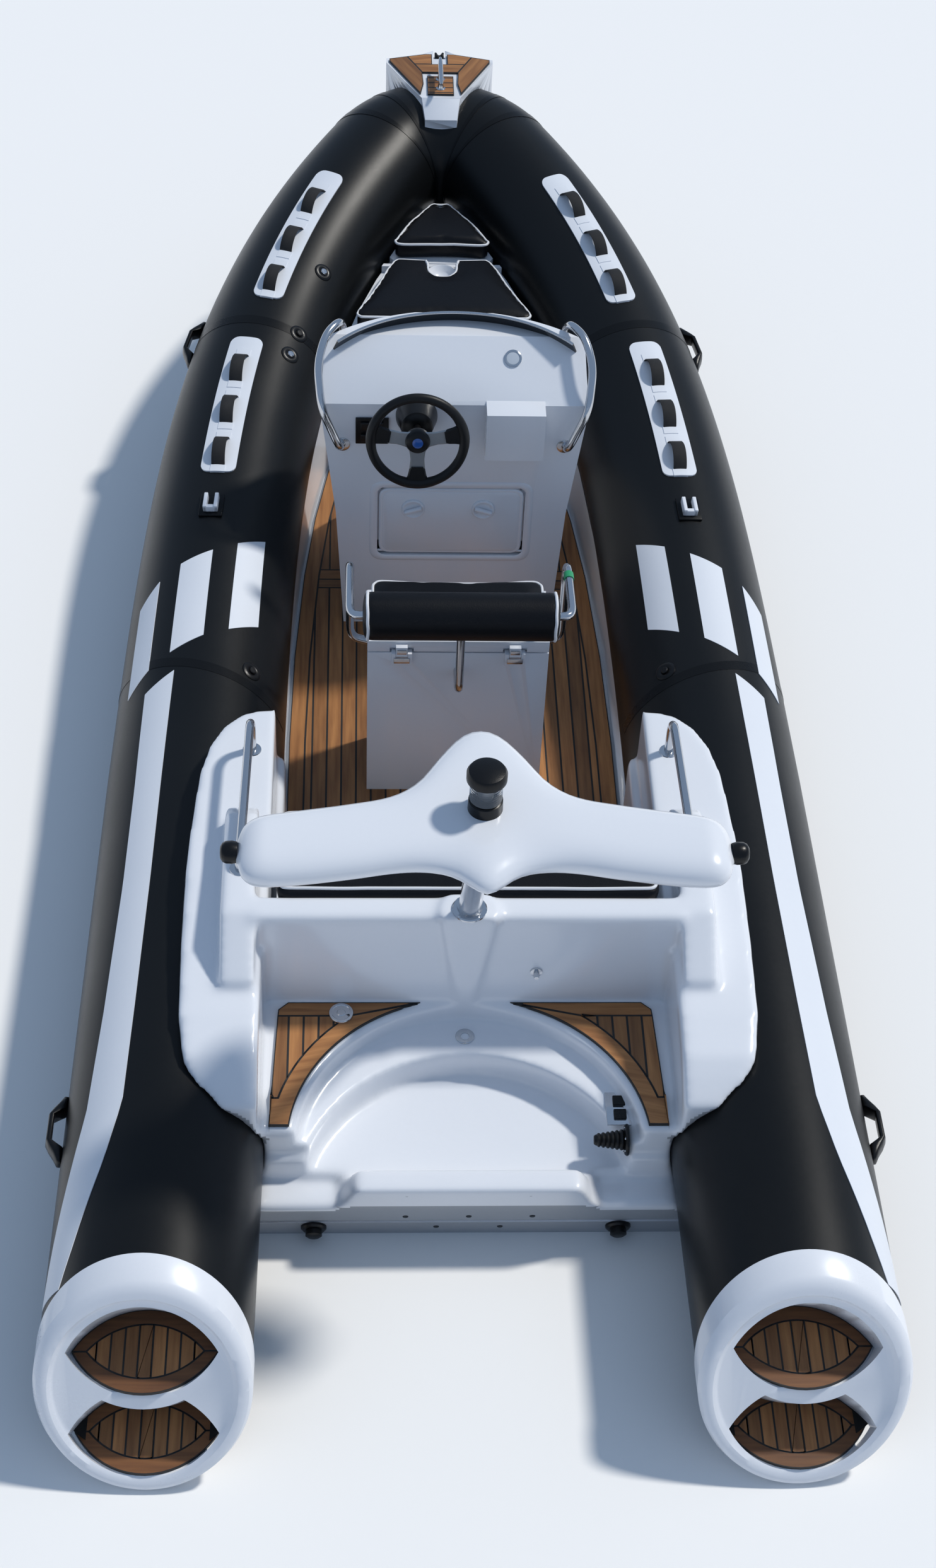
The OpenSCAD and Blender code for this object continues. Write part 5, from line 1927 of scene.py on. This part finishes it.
@dataclass
class Seat:
    """Helm seat: box, hinged lid, cushion, bolster and rails."""

    upholstery: Upholstery
    x: float = 0.266
    y: float = 1.600
    deep: float = 0.225

    def build(self) -> None:
        """Build and dress the seat."""
        box = Shop.settle(Shop.soften(Shop.copy("seat_box", "seat_body"), 0.006), 35.0)
        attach(GELCOAT.paint(box), "boat")
        lid = Shop.settle(Shop.soften(Shop.copy("seat_lid", "seat_cover"), 0.005), 35.0)
        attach(GELCOAT.paint(lid), "seat_top")
        pad = self.upholstery.stuff("seat_cushion", "seat_pad", "seat_top")
        outline = box_outline(self.x - 0.012, self.y + 0.062, self.y + self.deep - 0.006)
        seam = self.upholstery.frame(outline, 0.758, 0.03)
        self.upholstery.pipe(pad, seam, "seat_piping", "seat_top")
        self.bolster()
        self.hinges()
        self.rails()

    def bolster(self) -> None:
        """The back roll with piped ends."""
        roll = self.upholstery.stuff("bolster", "back_roll", "boat", 0.9)
        for side in Side:
            ring = [
                (
                    0.268 * side.value, 1.522 + 0.072 * math.cos(math.tau * k / 32),
                    0.882 + 0.072 * math.sin(math.tau * k / 32)
                )
                for k in range(32)
            ]
            self.upholstery.pipe(roll, ring, f"roll_piping_{side.word}", "boat")

    def hinges(self) -> None:
        """Leaves of the lid's hinges, one on the box and one on the lid."""
        for index, x in enumerate((-0.166, 0.166)):
            low = Shop.block(
                f"hinge_low_{index}", (0.046, 0.0022, 0.020), (x, self.y - 0.0195, 0.653), round_by=0.0009
            )
            high = Shop.block(
                f"hinge_high_{index}", (0.028, 0.0022, 0.016), (x, self.y - 0.0195, 0.687), round_by=0.0009
            )
            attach(STEEL.paint(low), "boat")
            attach(STEEL.paint(high), "seat_top")

    def rails(self) -> None:
        """Side rails of the bolster and its back post."""
        for side in Side:
            line = [
                (0.272, 1.524, 0.882), (0.318, 1.528, 0.882), (0.318, 1.790, 0.860), (0.318, 1.796, 0.552),
                (0.262, 1.790, 0.540)
            ]
            rail = Shop.swept(f"seat_rail_{side.word}", mirrored(line, side), RAIL_R, 0.05)
            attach(STEEL.paint(rail), "boat")
            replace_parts(rail, "seat_frame")
        post = Shop.swept(
            "seat_post", [(0, 1.497, 0.830), (0, 1.497, 0.600), (0, 1.602, 0.600)], RAIL_R, 0.05
        )
        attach(STEEL.paint(post), "boat")
        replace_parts(post, "seat_frame")
        band = Shop.turned(
            "rail_band",
            [(0.0, 0.0), (0.0145, 0.0), (0.0150, 0.004), (0.0150, 0.024), (0.0145, 0.028), (0.0, 0.028)],
            (0.318, 1.70, 0.8675), (0, 1, -0.084), 24
        )
        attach(GREEN.paint(band), "boat")


@dataclass
class Console:
    """Steering console with hatch, wheel, screen and hoops."""

    aft: float = 2.370
    hub: tuple[float, float, float] = (-0.117, 2.190, 0.985)
    tilt: float = math.radians(12)
    rim: float = 0.141

    def build(self) -> None:
        """Build and dress the console."""
        shell = Shop.settle(Shop.soften(Shop.copy("console", "console_shell"), 0.024, 5, 20.0), 40.0)
        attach(GELCOAT.paint(shell), "boat")
        self.hatch()
        self.wheel()
        self.helm()
        self.screen()
        self.hoops()
        self.dash()

    def hatch(self) -> None:
        """The hinged hatch with its two turn latches, in a rounded flange."""
        x, z0, z1 = 0.229, 0.391, 0.655

        def panel(grow: float, corner: float, y: float) -> list[Vector]:
            """A rounded outline on the console's face."""
            corners = [
                (-x - grow, y, z0 - grow), (x + grow, y, z0 - grow), (x + grow, y, z1 + grow),
                (-x - grow, y, z1 + grow)
            ]
            return Shop.rounded(corners, corner, 8, True)

        door = Shop.loft(
            "hatch_panel",
            [
                panel(-0.004, 0.034, self.aft), panel(0.0, 0.037, self.aft + 0.004),
                panel(0.0, 0.037, self.aft + 0.014)
            ],
            angle=35.0
        )
        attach(GELCOAT.paint(door), "hatch")
        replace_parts(door, "console_hatch")
        inset = Shop.loft(
            "hatch_bead",
            [
                panel(-0.014, 0.03, self.aft - 0.0022), panel(-0.0115, 0.031, self.aft - 0.0008),
                panel(-0.011, 0.031, self.aft + 0.002)
            ],
            angle=35.0
        )
        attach(GELCOAT.paint(inset), "hatch")
        ring = [
            panel(0.0085, 0.038, self.aft + 0.001), panel(0.0085, 0.038, self.aft - 0.0005),
            panel(0.012, 0.040, self.aft - 0.003), panel(0.026, 0.045, self.aft - 0.003),
            panel(0.029, 0.047, self.aft - 0.001), panel(0.029, 0.047, self.aft + 0.001)
        ]
        flange = Shop.loft("hatch_flange", ring + ring[:1], caps=False, angle=50.0)
        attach(GELCOAT.paint(flange), "boat")
        for key, size, at in (
            ("port", (0.017, 0.003, 0.225), (-x + 0.0035, 0.545)),
            ("starboard", (0.017, 0.003, 0.225), (x - 0.0035, 0.545)),
            ("top", (2 * x - 0.010, 0.003, 0.017), (0.0, z1 - 0.0035)),
        ):
            stop = Shop.block(f"hatch_stop_{key}", size, (at[0], self.aft + 0.0165, at[1]), round_by=0.001)
            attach(GELCOAT.paint(stop), "boat")
        for index, lx in enumerate((-0.121, 0.102)):
            base = Shop.turned(
                f"latch_base_{index}",
                [
                    (0.0, 0.0012), (0.016, 0.0015), (0.027, 0.004), (0.031, 0.0075), (0.034, 0.0075),
                    (0.037, 0.004), (0.037, 0.0), (0.0, 0.0)
                ],
                (lx, self.aft - 0.002, 0.577), AFT, 40
            )
            grip = Shop.block(
                f"latch_grip_{index}", (0.058, 0.014, 0.012), (lx, self.aft - 0.012, 0.577),
                (0, 0.35 if index else -0.35, 0), 0.004
            )
            for obj in (base, grip):
                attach(CAP_WHITE.paint(obj), "hatch")

    def wheel(self) -> None:
        """Rim, grips, spokes and hub of the wheel."""
        bpy.ops.object.select_all(action="DESELECT")
        bpy.ops.mesh.primitive_torus_add(
            major_radius=self.rim, minor_radius=0.016, major_segments=96, minor_segments=24
        )
        rim = bpy.context.object
        rim.name = "wheel_rim"
        for vertex in rim.data.vertices:
            a = math.degrees(math.atan2(vertex.co.y, vertex.co.x)) % 360
            near = min(abs((a - s + 180) % 360 - 180) for s in (10, 170, 270))
            swell = 1 + 0.10 * max(0.0, 1 - (near / 24) ** 2)
            middle = Vector((vertex.co.x, vertex.co.y, 0)).normalized() * self.rim
            vertex.co = middle + (vertex.co - middle) * min(1.0, 0.9 * swell)
        pieces = [(rim, RUBBER)]
        for index, a in enumerate((10, 170, 270)):
            c, s = math.cos(math.radians(a)), math.sin(math.radians(a))
            for key, rows, thick, finish in (
                ("spoke", [(0.020, 0.030), (0.036, 0.024), (0.060, 0.021), (0.092, 0.024)], 0.0035, SILVER),
                (
                    "grip",
                    [(0.084, 0.019), (0.092, 0.024), (0.112, 0.028), (0.130, 0.034), (0.140, 0.036)],
                    0.0085, RUBBER
                ),
            ):
                rings = []
                for r, w in rows:
                    rings.append([
                        (r * c - d * w * s, r * s + d * w * c, z * thick - 0.001)
                        for d, z in ((-1, 0), (-0.85, 1), (0.85, 1), (1, 0), (0.85, -1), (-0.85, -1))
                    ])
                pieces.append((Shop.loft(f"wheel_{key}_{index}", rings, angle=30.0), finish))
        hub = Shop.turned(
            "wheel_hub",
            [
                (0.0, 0.016), (0.026, 0.016), (0.034, 0.012), (0.038, 0.004), (0.038, -0.014),
                (0.012, -0.016), (0.012, -0.115), (0.0, -0.115)
            ],
            (0, 0, 0), UP
        )
        cap = Shop.turned(
            "wheel_cap", [(0.0, 0.0185), (0.010, 0.018), (0.016, 0.0165), (0.0165, 0.0155), (0.0, 0.0155)],
            (0, 0, 0), UP, 32
        )
        pieces += [(hub, PLASTIC), (cap, BLUE)]
        turn = Matrix.Translation(Vector(self.hub)) @ Matrix.Rotation(math.pi / 2 - self.tilt, 4, "X")
        for obj, finish in pieces:
            obj.matrix_world = turn
            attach(finish.paint(Shop.settle(obj, 40.0)), "wheel")
        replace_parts(rim, "steering_wheel")

    def helm(self) -> None:
        """The black bezel behind the wheel."""
        axis = Vector((0, -math.cos(self.tilt), math.sin(self.tilt)))
        base = Vector(self.hub) - axis * 0.176
        rows = [
            (0.013, 0.086), (0.040, 0.084), (0.048, 0.078), (0.053, 0.060), (0.058, 0.030), (0.064, 0.006),
            (0.064, -0.012), (0.0, -0.012)
        ]
        obj = Shop.turned("helm_bezel", rows, base, axis)
        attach(PLASTIC.paint(obj), "boat")
        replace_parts(obj, "helm")

    def screen(self) -> None:
        """Smoked screen with a bright edge and its screws."""
        rows = ((0.616, 0.0), (0.540, 0.152))
        centre = Vector((0, 2.060, 1.010))
        lean = (rows[1][0] - rows[0][0]) / rows[1][1]

        def at(angle: float, h: float, out: float = 0.0) -> Vector:
            """A point on the screen."""
            r = rows[0][0] + lean * h + out
            return centre + Vector((r * math.cos(math.radians(angle)), r * math.sin(math.radians(angle)), h))

        angles = [50 + 80 * k / 48 for k in range(49)]
        tops = [0.150 - 0.03 * (abs(a - 90) / 40) ** 4 for a in angles]
        rings = []
        for a, top in zip(angles, tops):
            low = 0.062
            rings.append([at(a, low), at(a, low, 0.006), at(a, top, 0.006), at(a, top)])
        glass = Shop.loft("screen_sheet", rings, angle=35.0)
        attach(SMOKED.paint(glass), "boat")
        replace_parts(glass, "windscreen")
        edge = Shop.pipe("screen_edge", [at(a, top, 0.003) for a, top in zip(angles, tops)], 0.0045, steps=2)
        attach(STEEL.paint(edge), "boat")
        for k in range(7):
            a = 56 + 68 * k / 6
            spot = at(a, 0.112, 0.006)
            out = Vector((math.cos(math.radians(a)), math.sin(math.radians(a)), 0.45))
            screw = Shop.turned(
                f"screen_screw_{k}",
                [(0.0, 0.004), (0.004, 0.0035), (0.006, 0.001), (0.006, 0.0), (0.0, 0.0)], spot, out, 14
            )
            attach(STEEL.paint(screw), "boat")

    def hoops(self) -> None:
        """Handrails on the console's sides."""
        y = self.aft
        line = [
            (0.345, y + 0.006, 0.831), (0.352, y - 0.036, 0.842), (0.408, y - 0.024, 0.985),
            (0.420, y + 0.050, 1.095), (0.396, y + 0.128, 1.149), (0.356, y + 0.185, 1.157),
            (0.344, y + 0.225, 1.118), (0.340, y + 0.235, 1.040)
        ]
        for side in Side:
            hoop = Shop.swept(f"hoop_{side.word}", mirrored(line, side), RAIL_R, 0.045)
            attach(STEEL.paint(hoop), "boat")
            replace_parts(hoop, "console_rails")
            rose = Shop.turned(
                f"hoop_rose_{side.word}",
                [(0.0, 0.006), (0.018, 0.006), (0.024, 0.003), (0.025, 0.0), (0.0, 0.0)],
                (0.345 * side.value, y, 0.831), AFT, 28
            )
            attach(STEEL.paint(rose), "boat")

    def dash(self) -> None:
        """Switch panel, its switches and the gauge."""
        plate = Shop.block(
            "switch_panel", (0.102, 0.0078, 0.098), (-0.253, self.aft - 0.0040, 0.887), round_by=0.0025
        )
        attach(PLASTIC.paint(plate), "boat")
        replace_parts(plate, "dash_fittings")
        for k in range(4):
            x, z = -0.275 + 0.044 * (k % 2), 0.865 + 0.044 * (k // 2)
            rocker = Shop.block(
                f"panel_switch_{k}", (0.026, 0.010, 0.030), (x, self.aft - 0.011, z), (0.15, 0, 0), 0.002
            )
            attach(RUBBER.paint(rocker), "boat")
        slope = math.atan2(0.135, 0.170)
        out = Vector((0, -math.sin(slope), math.cos(slope)))
        spot = Vector((0.178, self.aft + 0.68 * 0.170, 0.985 + 0.68 * 0.135))
        bezel = Shop.turned(
            "gauge_bezel",
            [
                (0.020, 0.0045), (0.024, 0.0055), (0.027, 0.004), (0.027, 0.0), (0.0, 0.0), (0.0, 0.003),
                (0.020, 0.003)
            ],
            spot, out, 36
        )
        face = Shop.turned(
            "gauge_face",
            [(0.0, 0.0042), (0.012, 0.004), (0.0200, 0.0036), (0.0200, 0.0030), (0.0, 0.0030)], spot, out,
            36
        )
        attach(STEEL.paint(bezel), "boat")
        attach(DIAL.paint(face), "boat")
        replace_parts(bezel, "dash_fittings")


@dataclass
class Bow:
    """Bow locker with its cushions, and the bow step."""

    upholstery: Upholstery
    front: Sequence[tuple[float, float]] = (
        (0.160, 3.786), (0.172, 3.804), (0.122, 3.930), (0.072, 4.010), (0.042, 4.056)
    )
    rear: Sequence[tuple[float, float]] = ((0.294, 3.372), (0.308, 3.390), (0.186, 3.722), (0.168, 3.738))
    tip: float = 4.650
    top: float = 0.900

    def build(self) -> None:
        """Build and dress the bow."""
        for node, name, body in (
            ("bow_locker", "locker_body", "boat"), ("locker_lid", "locker_cover", "locker_top")
        ):
            obj = Shop.settle(Shop.soften(Shop.copy(node, name), 0.005), 35.0)
            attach(GELCOAT.paint(obj), body)
        self.cushions()
        self.step()
        self.roller()
        self.cleat()

    def cushions(self) -> None:
        """The two bow cushions and the finger bowl between them."""
        front = self.upholstery.stuff("cushion_front", "front_pad", "locker_top")
        ring = list(self.front) + mirrored(reversed(self.front))
        self.upholstery.pipe(front, self.upholstery.frame(ring, 0.620, 0.03), "front_piping", "locker_top")
        rear = self.upholstery.stuff("cushion_rear", "rear_pad", "boat")
        wide, y = 0.058, 3.700
        turns = [math.pi * k / 10 for k in range(1, 10)]
        bend = [(-wide * math.cos(a), y - wide * math.sin(a)) for a in turns]
        notch = [(-wide, 3.738), (-wide, y), *bend, (wide, y), (wide, 3.738)]
        ring = list(self.rear) + notch[::-1] + mirrored(reversed(self.rear))
        self.upholstery.pipe(rear, self.upholstery.frame(ring, 0.594, 0.012), "rear_piping", "boat")
        bowl = Shop.turned(
            "finger_bowl",
            [
                (0.0, 0.004), (0.020, 0.006), (0.036, 0.018), (0.044, 0.032), (0.048, 0.036),
                (0.053, 0.034), (0.055, 0.020), (0.055, 0.0), (0.0, 0.0)
            ],
            (0, 3.700, 0.529), UP
        )
        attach(GELCOAT.paint(bowl), "boat")

    def step(self) -> None:
        """The white step and its teak."""
        body = Shop.settle(Shop.soften(Shop.copy("bow_step", "step_body"), 0.007, 3), 35.0)
        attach(GELCOAT.paint(body), "boat")
        t = self.tip
        flank = [
            (0.074, t - 0.318), (0.186, t - 0.090), (0.186, t - 0.074), (0.120, t - 0.056),
            (0.066, t - 0.168), (0.062, t - 0.246)
        ]
        front = [
            (0.120, t - 0.056), (0.052, t - 0.038), (0.028, t - 0.038), (0.028, t - 0.110),
            (0.094, t - 0.110)
        ]
        bar = [(-0.094, t - 0.110), (0.094, t - 0.110), (0.066, t - 0.168), (-0.066, t - 0.168)]
        pad = [(-0.048, t - 0.322), (0.048, t - 0.322), (0.048, t - 0.196), (-0.048, t - 0.196)]
        single = [flank, mirrored(flank), front, mirrored(front), bar]
        boards = Boards(0.034, 0.0, 0.006, 0.007)
        laid = boards.fit("step_boards", pad, single, self.top + 0.0072, across=True)
        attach(laid, "boat")
        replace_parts(laid, "bow_step_teak")

    def roller(self) -> None:
        """The grooved roller and its pin."""
        at = (-0.017, self.tip - 0.028, self.top - 0.016)
        rows = [
            (0.0045, 0.0), (0.021, 0.0), (0.022, 0.002), (0.022, 0.006), (0.013, 0.013), (0.012, 0.017),
            (0.013, 0.021), (0.022, 0.028), (0.022, 0.032), (0.021, 0.034), (0.0045, 0.034), (0.0045, 0.0)
        ]
        roller = Shop.turned("roller_body", rows, at, (1, 0, 0), 36)
        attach(RUBBER.paint(roller), "roller")
        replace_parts(roller, "bow_roller")
        pin = Shop.turned(
            "roller_axle",
            [(0.0, 0.0), (0.0035, 0.0), (0.004, 0.0006), (0.004, 0.0434), (0.0035, 0.044), (0.0, 0.044)],
            (-0.022, at[1], at[2]), (1, 0, 0), 24
        )
        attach(STEEL.paint(pin), "boat")
        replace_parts(pin, "roller_pin")

    def cleat(self) -> None:
        """The horn cleat."""
        y, z = self.tip - 0.250, self.top + 0.007
        rows = [
            (-0.096, 0.004, 0.052), (-0.080, 0.0075, 0.050), (-0.050, 0.0092, 0.047), (0.0, 0.0095, 0.046),
            (0.050, 0.0092, 0.047), (0.080, 0.0075, 0.050), (0.096, 0.004, 0.052)
        ]
        rings = [
            [
                (r * math.cos(math.tau * k / 20), y + s, z + h + r * math.sin(math.tau * k / 20))
                for k in range(20)
            ]
            for s, r, h in rows
        ]
        horn = Shop.loft("cleat_horn", rings, angle=60.0)
        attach(STEEL.paint(horn), "boat")
        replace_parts(horn, "bow_cleat")
        for side in Side:
            leg = Shop.turned(
                f"cleat_leg_{side.word}",
                [
                    (0.0, 0.048), (0.008, 0.047), (0.0085, 0.020), (0.012, 0.006), (0.017, 0.002),
                    (0.017, 0.0), (0.0, 0.0)
                ],
                (0, y + 0.032 * side.value, z), UP, 28
            )
            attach(STEEL.paint(leg), "boat")
            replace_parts(leg, "bow_cleat")


@dataclass
class Studio:
    """Floor at the waterline, soft light and the camera."""

    focal: float = 3800.0
    tall: float = 2487.0
    angles: tuple[float, float, float] = (46.06, 3.749, -2.905)
    eye: tuple[float, float, float] = (-0.2889, -3.5394, 5.4588)
    sky: float = 0.46
    sun: float = 2.55

    def build(self) -> None:
        """Set the stage."""
        self.floor()
        self.light()
        self.camera()
        bpy.context.scene.view_settings.view_transform = "Standard"

    def floor(self) -> None:
        """The pale floor."""
        bpy.ops.object.select_all(action="DESELECT")
        bpy.ops.mesh.primitive_plane_add(size=80.0, location=(0, 2, 0))
        floor = bpy.context.object
        floor.name = "studio_floor"
        Shop.settle(floor)
        made = bpy.data.materials.new("floor")
        made.use_nodes = True
        shader = made.node_tree.nodes["Principled BSDF"]
        shader.inputs["Base Color"].default_value = (0.93, 0.92, 0.90, 1.0)
        shader.inputs["Roughness"].default_value = 0.9
        floor.data.materials.append(made)

    def light(self) -> None:
        """Even sky and one broad lamp from high on the starboard bow."""
        world = bpy.data.worlds.new("sky")
        bpy.context.scene.world = world
        world.use_nodes = True
        ground = world.node_tree.nodes["Background"]
        ground.inputs[0].default_value = (0.50, 0.69, 1.0, 1.0)
        ground.inputs[1].default_value = self.sky
        bpy.ops.object.light_add(type="SUN", location=(3, 5, 8))
        lamp = bpy.context.object
        lamp.name = "key"
        lamp.data.energy, lamp.data.angle = self.sun, math.radians(5)
        lamp.data.color = (1.0, 0.965, 0.90)
        aim = Vector((-0.70, -0.30, -1.0)).normalized()
        lamp.rotation_euler = aim.to_track_quat("-Z", "Y").to_euler()

    def camera(self) -> None:
        """The camera that sees the boat as the photo does."""
        lens = bpy.data.cameras.new("camera")
        lens.sensor_width, lens.lens, lens.clip_end = 36.0, self.focal * 36.0 / self.tall, 100.0
        obj = bpy.data.objects.new("camera", lens)
        bpy.context.scene.collection.objects.link(obj)
        down, yaw, roll = (math.radians(v) for v in self.angles)
        ahead = Vector((math.sin(yaw) * math.cos(down), math.cos(yaw) * math.cos(down), -math.sin(down)))
        right = Vector((math.cos(yaw), -math.sin(yaw), 0))
        below = ahead.cross(right)
        x = math.cos(roll) * right + math.sin(roll) * below
        y = math.sin(roll) * right - math.cos(roll) * below
        pose = Matrix((x, y, -ahead)).transposed().to_4x4()
        pose.translation = Vector(self.eye)
        obj.matrix_world = pose
        bpy.context.scene.camera = obj


def main() -> None:
    """Build the boat's looks over the frame."""
    logging.basicConfig(level=logging.INFO, format="%(message)s")
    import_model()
    bpy.ops.object.select_all(action="DESELECT")
    path = TubePath()
    tubes = Tubes(path)
    upholstery = Upholstery()
    for part in (
        tubes, EndCaps(path), TubeTrim(tubes), Hull(upholstery), Arch(), Seat(upholstery), Console(),
        Bow(upholstery), Studio()
    ):
        count = len(bpy.data.objects)
        part.build()
        LOG.info("%s: %d pieces", type(part).__name__, len(bpy.data.objects) - count)


if __name__ == "__main__":
    main()
